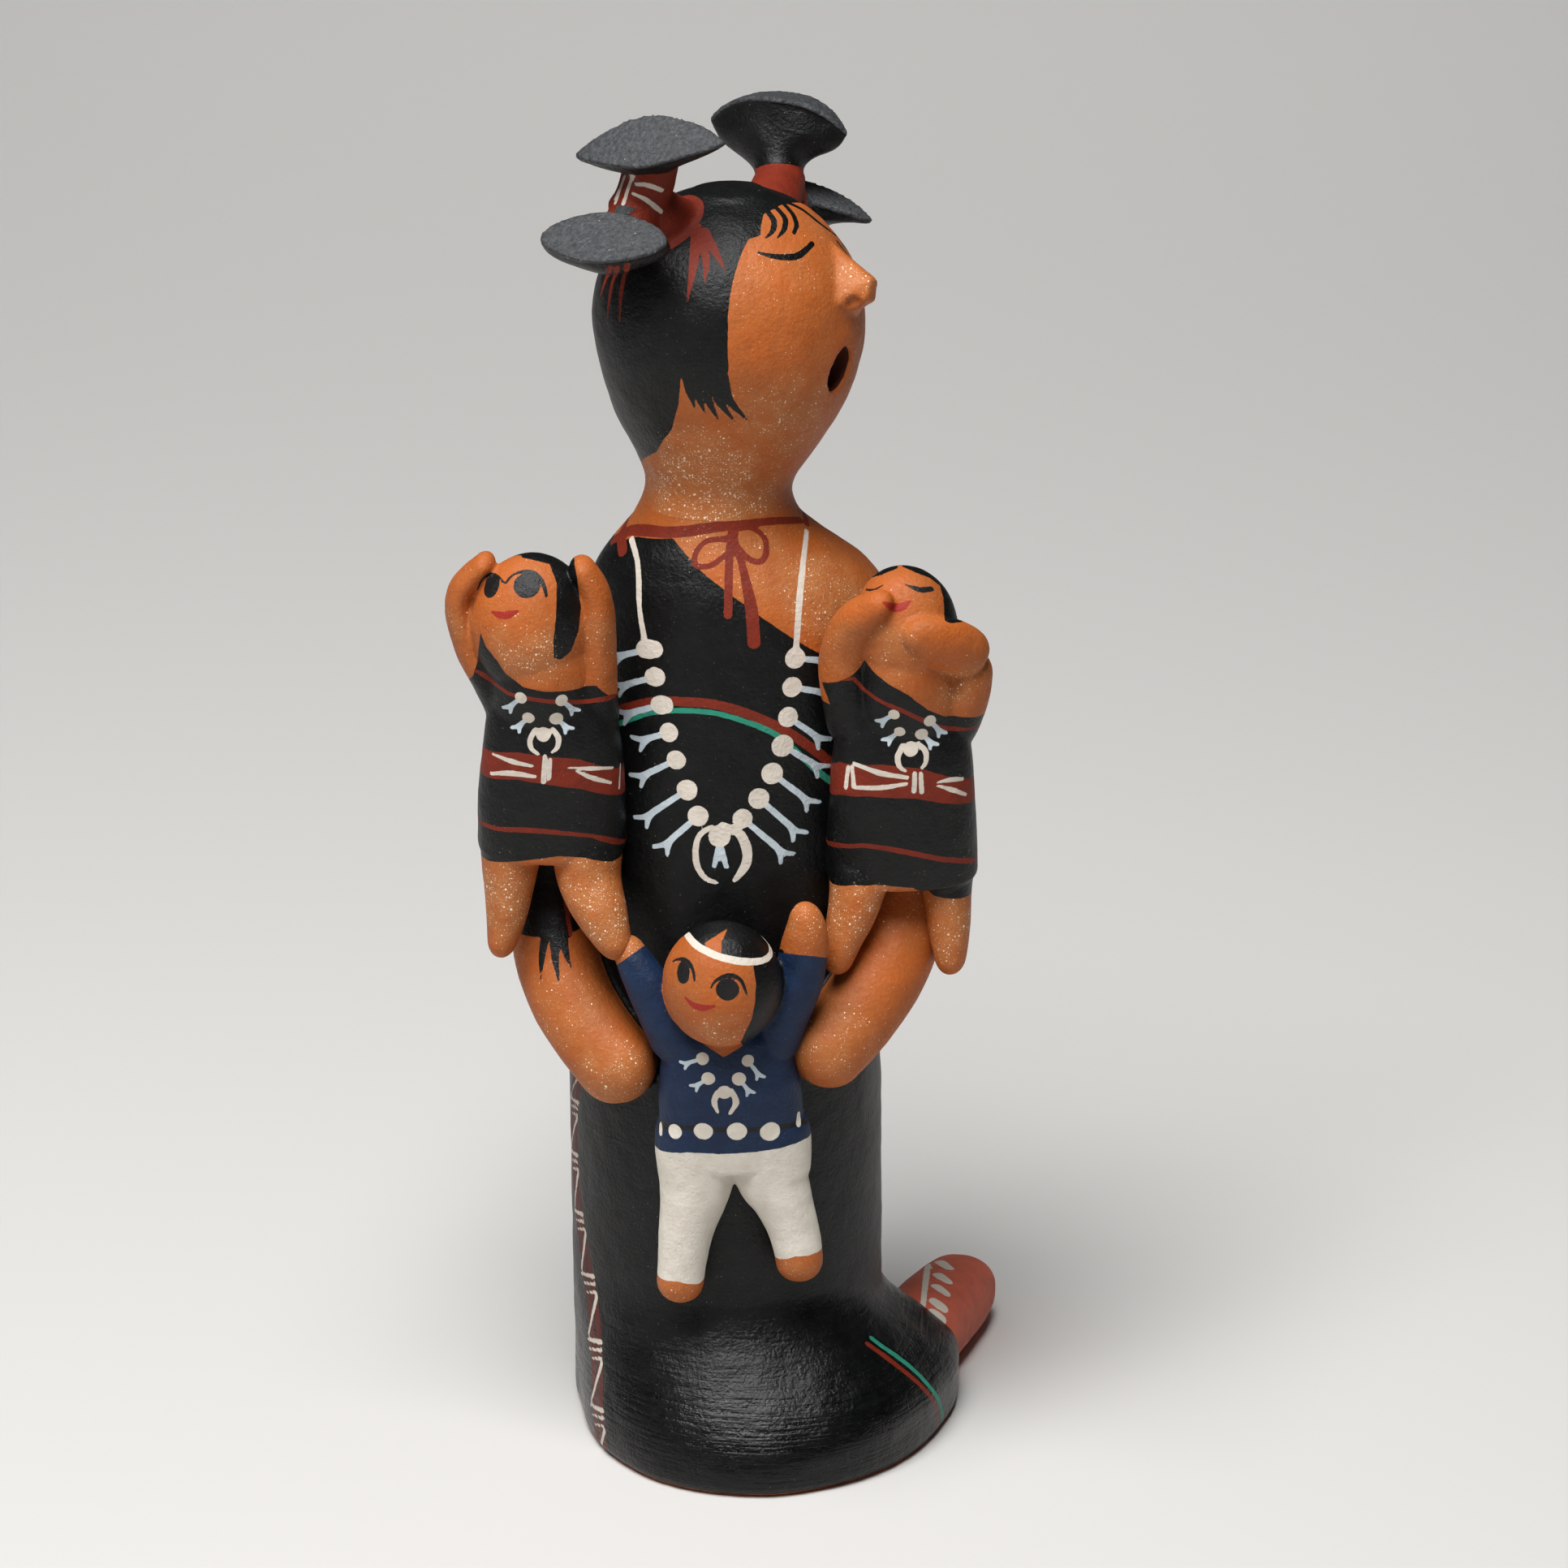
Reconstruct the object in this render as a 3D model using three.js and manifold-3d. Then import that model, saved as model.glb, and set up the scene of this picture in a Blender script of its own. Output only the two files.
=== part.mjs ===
import * as THREE from 'three';
import { mergeVertices } from 'three/addons/utils/BufferGeometryUtils.js';
import Module from 'manifold-3d';

// Pueblo storyteller figure: a singing woman with three children, hand-built in micaceous clay
// and fired as one piece. Millimetres, +Z up. The body faces -Y and the origin is on the floor,
// on the axis of the body.

// Driving dimensions
const figureHeight = 282; // floor to the top of the hair buns
const bodyRadius = 32; // the standing column of the skirt
const legBulge = 20; // how far the folded legs push the skirt out at the floor
const skirtEdge = 2.5; // rounding of the skirt where it meets the floor
const mouthWidth = 7.5;
const mouthHeight = 10.5;
const mouthDepth = 9;
const bunWaist = 10.5; // thickness of the tied middle of a hair bun
const bunThickness = 11; // thickness of the flared ends of a hair bun
const bunArch = 0.26; // how far the cut face of a flared end is arched, as a share of the flare
const armThickness = 17.5; // the woman's arms
const childLimb = 10; // thickness of a child's arm
const childBodyDepth = 19;
const shoeHeight = 17.5;

// The figure is laid out on a grid: 282 steps up its height and 32 steps from its axis to the
// side of the column, so that at the real size one step is one millimetre each way.
const stepUp = figureHeight / 282;
const stepOut = bodyRadius / 32;
const at = (x, y, z) => new THREE.Vector3(x * stepOut, y * stepOut, z * stepUp);

// How finely the round forms are divided
const bodySides = 36;
const armSides = 14;
const bodySlabSides = 16;
const childHeadSides = 12;
const bunSides = 16;
const smallSides = 10;

// The woman's head looks past her left shoulder, tilted back and a little to one side.
const headTurn = THREE.MathUtils.degToRad(72);
const headTilt = THREE.MathUtils.degToRad(31);
const headRoll = THREE.MathUtils.degToRad(18);
const headCentre = at(0, 0, 235);

const wasm = await Module();
wasm.setup();

// A closed geometry becomes a solid once its shared vertices are merged.
function solid(geometry) {
  geometry.deleteAttribute('normal');
  geometry.deleteAttribute('uv');
  const merged = mergeVertices(geometry, 1e-4);
  const made = new wasm.Manifold(
    new wasm.Mesh({
      numProp: 3,
      vertProperties: new Float32Array(merged.attributes.position.array),
      triVerts: new Uint32Array(merged.index.array),
    }),
  );
  return made;
}

// A skin over a stack of rings, closed at each end by a fan around one point.
function skin(rings, start, end) {
  const sides = rings[0].length;
  const points = [...rings.flat(), start, end];
  const faces = [];
  for (let side = 0; side < sides; side++) {
    const next = (side + 1) % sides;
    faces.push(points.length - 2, next, side);
    for (let ring = 0; ring + 1 < rings.length; ring++) {
      const low = ring * sides;
      const high = low + sides;
      faces.push(low + side, low + next, high + next);
      faces.push(low + side, high + next, high + side);
    }
    const last = (rings.length - 1) * sides;
    faces.push(points.length - 1, last + side, last + next);
  }
  const geometry = new THREE.BufferGeometry().setFromPoints(points);
  geometry.setIndex(faces);
  return solid(geometry);
}

// A value read between the rows of a table, without kinks. A row is [place, value, value...].
function smoothRow(rows, place) {
  let i = 0;
  while (i < rows.length - 2 && place > rows[i + 1][0]) i++;
  const [before, from, to, after] = [-1, 0, 1, 2].map(
    (k) => rows[THREE.MathUtils.clamp(i + k, 0, rows.length - 1)],
  );
  const span = to[0] - from[0];
  const t = THREE.MathUtils.clamp((place - from[0]) / span, 0, 1);
  return from.map((value, k) => {
    const leaving = ((to[k] - before[k]) / (to[0] - before[0])) * span;
    const arriving = ((after[k] - value) / (after[0] - from[0])) * span;
    const curve = 2 * (value - to[k]) + leaving + arriving;
    return value + t * (leaving + t * (3 * (to[k] - value) - 2 * leaving - arriving + t * curve));
  });
}

// A limb: an oval section carried along a curve and rounded off at its ends. Widths and depths
// are whole sizes along the limb; depth is measured towards facing. Powers over 2 make the
// section squarer and powers under 2 make it a lens.
function limb({ path, widths, depths, facing, sides, rings = 7, power = 2, ends = [1, 1] }) {
  const curve = new THREE.CatmullRomCurve3(path, false, 'centripetal');
  const length = curve.getLength();
  const rows = (list) => list.map((value, i) => [i / (list.length - 1), value / 2]);
  const [widthRows, depthRows] = [rows(widths), rows(depths)];
  const stack = [];
  for (let ring = 1; ring < rings; ring++) {
    const t = (1 - Math.cos((Math.PI * ring) / rings)) / 2;
    const centre = curve.getPointAt(t);
    const along = curve.getTangentAt(t);
    const deep = facing.clone().addScaledVector(along, -facing.dot(along)).normalize();
    const wide = along.clone().cross(deep).normalize();
    const halfWidth = smoothRow(widthRows, t)[1];
    const halfDepth = smoothRow(depthRows, t)[1];
    const toEnd = [t * length, (1 - t) * length];
    const rounding = ends.map((round, k) => {
      const reach = round * Math.min(halfWidth, halfDepth);
      return toEnd[k] < reach ? Math.sqrt(1 - (1 - toEnd[k] / reach) ** 2) : 1;
    });
    const shrink = rounding[0] * rounding[1];
    const section = [];
    for (let side = 0; side < sides; side++) {
      const angle = (2 * Math.PI * side) / sides;
      const bend = (value) => Math.sign(value) * Math.abs(value) ** (2 / power);
      section.push(
        centre
          .clone()
          .addScaledVector(wide, -bend(Math.cos(angle)) * halfWidth * shrink)
          .addScaledVector(deep, bend(Math.sin(angle)) * halfDepth * shrink),
      );
    }
    stack.push(section);
  }
  return skin(stack, curve.getPointAt(0), curve.getPointAt(1));
}

// An egg: a sphere stretched to its three half sizes and leaned over by a turn about Y.
function egg(centre, wide, deep, high, sides, lean = 0) {
  const geometry = new THREE.SphereGeometry(1, sides, Math.round(sides * 0.6));
  geometry.rotateX(Math.PI / 2);
  geometry.scale(wide * stepOut, deep * stepOut, high * stepUp);
  geometry.rotateY(THREE.MathUtils.degToRad(lean));
  geometry.translate(centre.x, centre.y, centre.z);
  return solid(geometry);
}

const joined = (parts) => parts.reduce((whole, part) => whole.add(part));
const smoothstep = THREE.MathUtils.smoothstep;

// Skirt, torso, shoulders, neck and head in one skin. Each row is a height, the half width, the
// half depth and how far the section sits to the side and to the back, all in grid steps.
const bodyRows = [
  [0, 32, 32, -1, 0],
  [40, 32.3, 32.3, -1, 0],
  [75, 32.2, 32, -1.3, 0],
  [110, 31.5, 30, -1, 0.5],
  [150, 31, 27, 0.5, 1],
  [170, 31, 25, 1.2, 1],
  [179, 30.2, 23.6, 1.4, 1],
  [185, 27, 21.4, 0.2, 0.5],
  [190, 22, 18.6, -1.4, 0],
  [195, 17, 16, -2.4, 0],
  [200, 14.9, 14.6, -2.3, 0],
  [204, 15.2, 15, -1.8, 0],
  [210, 18.4, 17.6, -0.9, 0],
  [217, 22.3, 20.8, -0.4, 0],
  [225, 25.4, 23.8, 0, 0],
  [235, 27.1, 25.4, 0, 0],
  [245, 25.9, 24.2, -0.2, 0],
  [253, 21.4, 20, -0.2, 0],
  [259, 14.7, 13.8, 0, 0],
  [262.2, 7.6, 7.2, 0, 0],
];
const crown = at(0, 0, 263.4);

// The folded legs lie to the front and to the woman's left, so the skirt swells from one side
// round the front and stops behind the knees, where the feet come out.
function skirtSwell(angle, height) {
  const front = smoothstep(angle, -80, 15) * (1 - 0.16 * smoothstep(angle, 25, 75));
  const round = front * (1 - smoothstep(angle, 92, 128));
  const top = 36 - 9 * smoothstep(angle, 30, 90);
  return round * (1 - smoothstep(height, 9, top));
}

function womanBody() {
  const heights = [0, 1, 3, 8, 13, 18, 23, 28, 33, 40, 55, 80, 110, 138, 158, 171, 178];
  heights.push(182, 186, 190, 194, 198, 202, 206, 211, 217, 223, 229, 235, 242, 248, 253, 257);
  heights.push(260, 262.2);
  const rings = heights.map((height) => {
    const [, halfWidth, halfDepth, aside, back] = smoothRow(bodyRows, height);
    const drop = Math.max(0, 1 - (height * stepUp) / skirtEdge);
    const inset = skirtEdge * (1 - Math.sqrt(1 - drop * drop));
    const ring = [];
    for (let side = 0; side < bodySides; side++) {
      const angle = (360 * side) / bodySides - 150;
      const turn = THREE.MathUtils.degToRad(angle);
      const swell = legBulge * skirtSwell(angle, height) - inset;
      const outward = new THREE.Vector3(Math.sin(turn), -Math.cos(turn), 0);
      const point = at(aside + halfWidth * outward.x, back + halfDepth * outward.y, height);
      ring.push(point.addScaledVector(outward, swell));
    }
    return ring;
  });
  return skin(rings, at(-1, 0, 0), crown);
}

// Directions of the turned head: to its own right, forward and up.
const headForward = new THREE.Vector3(
  Math.sin(headTurn) * Math.cos(headTilt),
  -Math.cos(headTurn) * Math.cos(headTilt),
  Math.sin(headTilt),
);
const levelRight = new THREE.Vector3(-Math.cos(headTurn), -Math.sin(headTurn), 0);
const headRight = levelRight.clone().applyAxisAngle(headForward, -headRoll);
const headUp = headRight.clone().cross(headForward);
const onHead = (right, forward, up) =>
  headCentre
    .clone()
    .addScaledVector(headRight, right * stepOut)
    .addScaledVector(headForward, forward * stepOut)
    .addScaledVector(headUp, up * stepOut);

// A pinched nose with two wings, and a hollow open mouth
function nose() {
  const ridge = limb({
    path: [onHead(0, 22, 8.5), onHead(0, 25.4, 3.5), onHead(0, 28.4, -3), onHead(0, 27.6, -8)],
    widths: [3, 5, 8.5, 9],
    depths: [5, 7, 8, 7],
    facing: headForward,
    sides: smallSides,
    power: 1.7,
  });
  const wings = [-1, 1].map((side) =>
    limb({
      path: [onHead(side * 5.2, 22.5, -6.5), onHead(side * 3.6, 26.5, -8), onHead(side * 1.3, 30.6, -6.2)],
      widths: [6, 6.4, 5.5],
      depths: [5, 5.6, 5],
      facing: headUp,
      sides: smallSides - 2,
      rings: 6,
    }),
  );
  return joined([ridge, ...wings]);
}

function mouthHollow() {
  const rim = onHead(0, 20.6, -20.4);
  const inward = headCentre.clone().sub(rim).normalize();
  return limb({
    path: [rim.clone().addScaledVector(inward, -2 * stepOut), rim.addScaledVector(inward, mouthDepth)],
    widths: [mouthWidth, mouthWidth * 0.8],
    depths: [mouthHeight, mouthHeight * 0.8],
    facing: headUp,
    sides: armSides,
    rings: 6,
    ends: [0.05, 0.9],
  });
}

// A hair bun stands off the head on a short stalk, tied at its waist, with two flared ends. The
// cut face of an end is a lens: broad and thick are its two directions, and it is arched.
function bunEnd(waist, { tip, broad, thick, width, point = 1.45 }) {
  const spread = width * stepOut;
  const out = tip.clone().sub(waist);
  const facingOut = Math.sign(broad.clone().cross(thick).dot(out));
  const rows = [
    [-0.2, bunWaist / 2, bunWaist / 2, 2],
    [0.4, bunWaist / 2, bunWaist / 2, 2],
    [0.65, spread * 0.3, bunThickness * 0.46, 2],
    [1, spread / 2, bunThickness / 2, point],
  ];
  const rings = [-0.2, 0.4, 0.55, 0.75, 1].map((share) => {
    const [, halfWidth, halfThick, power] = smoothRow(rows, share);
    const ring = [];
    for (let side = 0; side < bunSides; side++) {
      const angle = (2 * Math.PI * side) / bunSides;
      const bend = (value) => Math.sign(value) * Math.abs(value) ** (2 / power);
      const across = bend(Math.cos(angle));
      const drop = bunArch * Math.max(0, share) * across * across;
      const point = waist.clone().addScaledVector(out, share - drop);
      point.addScaledVector(broad, across * halfWidth);
      ring.push(point.addScaledVector(thick, facingOut * bend(Math.sin(angle)) * halfThick));
    }
    return ring;
  });
  return skin(rings, waist.clone().addScaledVector(out, -0.2), tip);
}

function hairBun({ root, waist, ends }) {
  const stalk = limb({
    path: [root, waist.clone().lerp(root, -0.12)],
    widths: [bunWaist * 1.25, bunWaist * 0.94],
    depths: [bunWaist * 1.25, bunWaist * 0.94],
    facing: headForward,
    sides: smallSides + 2,
    rings: 4,
    ends: [0.05, 0.05],
  });
  return joined([stalk, ...ends.map((end) => bunEnd(waist, end))]);
}

// The broad direction runs front to back on the turned head; lean lifts its front end, and tip
// is the angle of the thick direction above the level, looking along the broad one.
function cutFace(lean, tipUp) {
  const turn = new THREE.Euler(0, -lean, headTurn - Math.PI / 2, 'ZYX');
  const broad = new THREE.Vector3(1, 0, 0).applyEuler(turn);
  const thick = new THREE.Vector3(0, Math.cos(tipUp), Math.sin(tipUp)).applyEuler(turn);
  return { broad, thick };
}

const hairBuns = [
  {
    root: at(-8, -4, 254),
    waist: at(-17, -13.5, 264.5),
    ends: [
      { tip: at(-14.8, -20, 279.3), width: 31.5, ...cutFace(0.16, 0.66) },
      { tip: at(-25.4, -25, 259.5), width: 27, point: 1.8, ...cutFace(0.14, 0.9) },
    ],
  },
  {
    root: at(7, 12, 254),
    waist: at(10.5, 30, 257),
    ends: [
      { tip: at(10.2, 38, 272), width: 30, ...cutFace(0.05, -0.2) },
      { tip: at(19.5, 40, 248.2), width: 25, point: 1.7, ...cutFace(-0.35, 1.2) },
    ],
  },
];

// The woman's arms hang to the elbow and come forward, each with a child astride it.
const towardFront = new THREE.Vector3(0, -1, 0);

function womanArms() {
  const upperShare = 1.05;
  const handShare = 0.92;
  return [
    [at(-21, 0, 177), at(-31, -2, 150), at(-36.5, -8, 122), at(-33, -20, 100), at(-16.5, -34, 80)],
    [at(23, 1, 173), at(31, -2, 148), at(36, -9, 122), at(31, -21, 104), at(14.5, -34, 84.5)],
  ].map((path) =>
    limb({
      path,
      widths: [1, upperShare, 1, 1, handShare].map((share) => share * armThickness),
      depths: [1, upperShare, 1, 0.95, 0.85].map((share) => share * armThickness),
      facing: towardFront,
      sides: armSides,
      rings: 12,
    }),
  );
}

// A child: a head like an egg on a flat slab of a body, two arms and two legs.
function child({ head, body, arms, legs }) {
  const torso = limb({
    path: body.path,
    widths: body.widths.map((width) => width * stepOut),
    depths: body.depths.map((share) => share * childBodyDepth),
    facing: towardFront,
    sides: bodySlabSides,
    rings: 7,
    power: 2.6,
    ends: body.ends,
  });
  const limbs = [...arms, ...legs].map(({ path, widths, depths, power }) =>
    limb({
      path,
      widths: widths.map((share) => share * childLimb),
      depths: depths.map((share) => share * childLimb),
      facing: towardFront,
      sides: smallSides,
      power,
    }),
  );
  return joined([egg(...head), torso, ...limbs]);
}

// The girl on the woman's right arm holds her head with both hands.
const girlOnRightArm = {
  head: [at(-38.5, -25, 181.5), 11.4, 10.4, 15.6, childHeadSides, 4],
  body: {
    path: [at(-35.7, -21, 130.5), at(-35.7, -22, 140), at(-35.3, -23, 156), at(-36.5, -24, 173)],
    widths: [30.5, 29.8, 28, 24],
    depths: [1.05, 1, 0.98, 0.8],
    ends: [0.25, 0.7],
  },
  arms: [
    {
      path: [at(-46, -22, 162), at(-51.3, -22, 172), at(-52.2, -22.5, 184), at(-45.5, -25.5, 194.5)],
      widths: [0.8, 0.7, 0.62, 0.55],
      depths: [1.1, 1, 0.95, 0.7],
    },
    {
      path: [at(-25.5, -24, 160), at(-25.2, -24.5, 172), at(-25.4, -25, 184), at(-29.5, -27, 195)],
      widths: [1, 0.88, 0.8, 0.55],
      depths: [1.2, 1.1, 1, 0.8],
    },
  ],
  legs: [
    {
      path: [at(-44, -22, 138), at(-44.3, -23.5, 122), at(-46, -26, 109)],
      widths: [1.4, 1.3, 0.8],
      depths: [1.5, 1.3, 0.85],
    },
    {
      path: [at(-28.5, -23, 138), at(-27, -26, 124), at(-24, -30, 113)],
      widths: [1.55, 1.35, 0.75],
      depths: [1.5, 1.3, 0.85],
    },
  ],
};

// The girl on the woman's left arm lays one hand on her cheek and folds the other arm.
const girlOnLeftArm = {
  head: [at(35, -23.5, 179.5), 10.6, 10, 14.2, childHeadSides, -6],
  body: {
    path: [at(34.6, -19, 124.5), at(34.6, -20.5, 134), at(34.6, -21.5, 150), at(34, -21.5, 168)],
    widths: [31, 30.4, 28.6, 24],
    depths: [1.05, 1, 0.98, 0.8],
    ends: [0.25, 0.7],
  },
  arms: [
    {
      path: [at(22.5, -23, 158), at(20.5, -24.5, 168), at(22.5, -27, 179), at(30.5, -32.5, 188.5)],
      widths: [1.1, 1, 0.95, 0.5],
      depths: [1.2, 1.1, 0.9, 0.6],
    },
    {
      path: [at(42, -19, 158), at(47.5, -22.5, 165.5), at(46, -27.5, 174), at(34, -32, 181)],
      widths: [1.2, 1.15, 1.05, 0.6],
      depths: [1.2, 1.1, 1, 0.6],
    },
  ],
  legs: [
    {
      path: [at(27.5, -21, 132), at(27, -24, 118), at(23, -29, 106)],
      widths: [1.5, 1.35, 0.8],
      depths: [1.5, 1.3, 0.85],
    },
    {
      path: [at(43, -19.5, 130), at(43.5, -21, 116), at(44.8, -23, 105.5)],
      widths: [1.35, 1.1, 0.72],
      depths: [1.4, 1.2, 0.8],
    },
  ],
};

// The boy hangs down the front with both arms raised.
const boyInFront = {
  head: [at(-1.4, -40, 110.5), 12, 11, 13.8, childHeadSides, -4],
  body: {
    path: [at(0.2, -32, 67), at(0.1, -32.5, 77), at(-0.4, -32.5, 90), at(-1.2, -32, 102)],
    widths: [32, 31.4, 28, 24],
    depths: [0.95, 0.98, 0.98, 0.9],
    ends: [0.25, 0.6],
  },
  arms: [
    {
      path: [at(-9.5, -33, 92), at(-14, -34, 103), at(-17.5, -33, 112), at(-18.8, -31, 118)],
      widths: [1.3, 1.1, 0.95, 0.7],
      depths: [1.3, 1.2, 1, 0.8],
    },
    {
      path: [at(8, -33, 92), at(12, -34.5, 104), at(15, -35.5, 115), at(15.2, -36, 126.5)],
      widths: [1.3, 1.15, 1.05, 0.7],
      depths: [1.3, 1.2, 1, 0.7],
    },
  ],
  legs: [
    {
      path: [at(-8, -33, 74), at(-9.4, -33, 58), at(-10.3, -34, 46), at(-10.7, -36, 37)],
      widths: [1.5, 1.4, 1.15, 1],
      depths: [1.3, 1.15, 1.05, 0.9],
    },
    {
      path: [at(8.4, -33, 74), at(10.8, -33, 60), at(13.2, -34, 50), at(14.2, -35.5, 42)],
      widths: [1.5, 1.4, 1.15, 1],
      depths: [1.3, 1.15, 1.05, 0.9],
    },
  ],
};

// Two moccasins lie one against the other where the folded legs come out of the skirt.
function moccasins() {
  const low = shoeHeight / 2;
  return [
    [at(36, 0, low), at(40.5, 13, low), at(46, 28, low * 0.95), at(51, 43, low * 0.8)],
    [at(16, 14, low * 0.85), at(23, 21, low * 0.75), at(30, 28, low * 0.7), at(35, 34, low * 0.6)],
  ].map((path) =>
    limb({
      path,
      widths: [1.1, 1.05, 0.95, 0.72].map((share) => share * shoeHeight),
      depths: [1, 1.08, 1, 0.8].map((share) => share * shoeHeight),
      facing: new THREE.Vector3(0, 0, 1),
      sides: armSides,
      rings: 8,
      power: 2.3,
    }),
  );
}

// Everything under the floor is cut away, so the figure stands on a flat underside.
function belowFloor() {
  const size = figureHeight;
  const block = new THREE.BoxGeometry(size, size, size);
  block.translate(0, 0, -size / 2);
  return solid(block);
}

const figureSolid = joined([
  womanBody(),
  nose(),
  ...hairBuns.map(hairBun),
  ...womanArms(),
  child(girlOnRightArm),
  child(girlOnLeftArm),
  child(boyInFront),
  ...moccasins(),
])
  .subtract(mouthHollow())
  .subtract(belowFloor());

const { vertProperties, triVerts } = figureSolid.getMesh();
const figureGeometry = new THREE.BufferGeometry();
figureGeometry.setAttribute('position', new THREE.BufferAttribute(vertProperties, 3));
figureGeometry.setIndex(new THREE.BufferAttribute(triVerts, 1));
figureGeometry.computeVertexNormals();

const micaceousClay = new THREE.MeshStandardMaterial({
  color: 0xb8673a,
  roughness: 0.7,
  metalness: 0,
});
const figureMesh = new THREE.Mesh(figureGeometry, micaceousClay);
figureMesh.name = 'storyteller_figure';

const storyteller = new THREE.Group();
storyteller.add(figureMesh);
export default storyteller;
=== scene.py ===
import math
from functools import partial

import bpy
import numpy as np
from mathutils import Euler, Matrix, Vector


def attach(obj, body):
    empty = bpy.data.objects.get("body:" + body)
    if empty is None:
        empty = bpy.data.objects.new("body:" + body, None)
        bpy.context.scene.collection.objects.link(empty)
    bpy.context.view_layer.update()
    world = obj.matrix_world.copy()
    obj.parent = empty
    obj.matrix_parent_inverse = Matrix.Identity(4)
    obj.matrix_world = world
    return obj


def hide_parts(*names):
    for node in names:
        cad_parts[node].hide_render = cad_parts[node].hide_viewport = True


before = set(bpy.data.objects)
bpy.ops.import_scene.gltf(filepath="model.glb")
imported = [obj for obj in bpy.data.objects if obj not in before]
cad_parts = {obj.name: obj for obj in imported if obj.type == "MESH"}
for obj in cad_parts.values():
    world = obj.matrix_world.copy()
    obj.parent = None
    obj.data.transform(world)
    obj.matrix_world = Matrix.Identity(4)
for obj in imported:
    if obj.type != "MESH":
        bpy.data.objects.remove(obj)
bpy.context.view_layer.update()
mm = 0.001


# Camera, floor and light

photo = {
    "framePx": 1932,      # width and height of the photograph
    "focalPx": 8456,      # focal length counted in its pixels
    "distance": 1400,     # mm from the camera to the middle of the figure
    "elevation": 21,      # degrees that the camera looks down
    "lookAt": (10.9, 0, 136.9),  # mm
}
cameraTurn = Euler((math.radians(90 - photo["elevation"]), 0, 0)).to_matrix()
cameraPlace = Vector(photo["lookAt"]) + cameraTurn @ Vector((0, 0, photo["distance"]))


def setUpCamera():
    camera = bpy.data.cameras.new("studioCamera")
    camera.sensor_width = 36
    camera.lens = photo["focalPx"] / photo["framePx"] * camera.sensor_width
    holder = bpy.data.objects.new("studioCamera", camera)
    holder.matrix_world = Matrix.Translation(cameraPlace * mm) @ cameraTurn.to_4x4()
    bpy.context.scene.collection.objects.link(holder)
    bpy.context.scene.camera = holder


def toLinear(hexColour):
    channels = [int(hexColour[i:i + 2], 16) / 255 for i in (1, 3, 5)]
    return [c / 12.92 if c <= 0.04045 else ((c + 0.055) / 1.055) ** 2.4 for c in channels] + [1]


# Adds one node, with its inputs as values or as other nodes' outputs, in order or by name, and
# its settings. Gives its outputs
def addNode(tree, kind, inputs=(), **settings):
    node = tree.nodes.new("ShaderNode" + kind)
    for name, value in settings.items():
        setattr(node, name, value)
    for name, value in inputs.items() if isinstance(inputs, dict) else enumerate(inputs):
        if isinstance(value, bpy.types.NodeSocket):
            tree.links.new(value, node.inputs[name])
        else:
            node.inputs[name].default_value = value
    return node.outputs


def newMaterial(name):
    material = bpy.data.materials.new(name)
    material.use_nodes = True
    material.node_tree.nodes.clear()
    return material, material.node_tree


# Selects these pieces alone, and works on the first
def selectOnly(*chosen):
    bpy.ops.object.select_all(action="DESELECT")
    for piece in chosen:
        piece.select_set(True)
    if chosen:
        bpy.context.view_layer.objects.active = chosen[0]


# The plain floor of the photograph, wide enough to fill every view. Paper is matt all over, so it
# shows soft shadows and no reflection
floorPaper = {"wide": 10000, "colour": "#d2d0cd", "rough": 0.85}


def makeFloor():
    selectOnly()
    bpy.ops.mesh.primitive_plane_add(size=floorPaper["wide"] * mm)
    paper = bpy.context.object
    paper.name = "floorPaper"
    material, tree = newMaterial("mattFloorPaper")
    shader = addNode(tree, "BsdfPrincipled", {
        "Base Color": toLinear(floorPaper["colour"]), "Roughness": floorPaper["rough"]})
    addNode(tree, "OutputMaterial", {"Surface": shader[0]})
    paper.data.materials.append(material)


# Place and target in mm, size in mm, power in watts, and how wide the light spreads in degrees. The
# last one lights the floor behind the figure
lamps = {
    "softboxOverhead": {
        "at": (-190, -430, 1240), "to": (0, 20, 60), "size": 760, "power": 25.5, "spread": 180},
    "fillLeft": {
        "at": (-1000, -700, 420), "to": (0, 0, 130), "size": 600, "power": 0.8, "spread": 180},
    "floorBehind": {
        "at": (0, 1500, 1300), "to": (0, 1500, 0), "size": 1200, "power": 3.9, "spread": 94},
}
room = {"colour": "#d9dbe0", "strength": 0.05}


def setUpLights():
    for name, lamp in lamps.items():
        light = bpy.data.lights.new(name, "AREA")
        light.shape = "SQUARE"
        light.size = lamp["size"] * mm
        light.energy = lamp["power"]
        light.spread = math.radians(lamp["spread"])
        holder = bpy.data.objects.new(name, light)
        place, target = Vector(lamp["at"]) * mm, Vector(lamp["to"]) * mm
        holder.location = place
        holder.rotation_euler = (target - place).to_track_quat("-Z", "Y").to_euler()
        bpy.context.scene.collection.objects.link(holder)
    world = bpy.data.worlds.new("studioRoom")
    world.use_nodes = True
    background = world.node_tree.nodes["Background"].inputs
    background["Color"].default_value = toLinear(room["colour"])
    background["Strength"].default_value = room["strength"]
    bpy.context.scene.world = world
    bpy.context.scene.view_settings.view_transform = "Standard"


setUpCamera()
makeFloor()
setUpLights()
print("camera, floor and lights are up")


# Shaping clay

def pointsOf(piece):
    points = np.empty(len(piece.data.vertices) * 3, np.float32)
    piece.data.vertices.foreach_get("co", points)
    return points.reshape(-1, 3).astype(float) / mm


def setPoints(piece, points):
    piece.data.vertices.foreach_set("co", (points * mm).astype(np.float32).ravel())
    piece.data.update()


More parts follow.
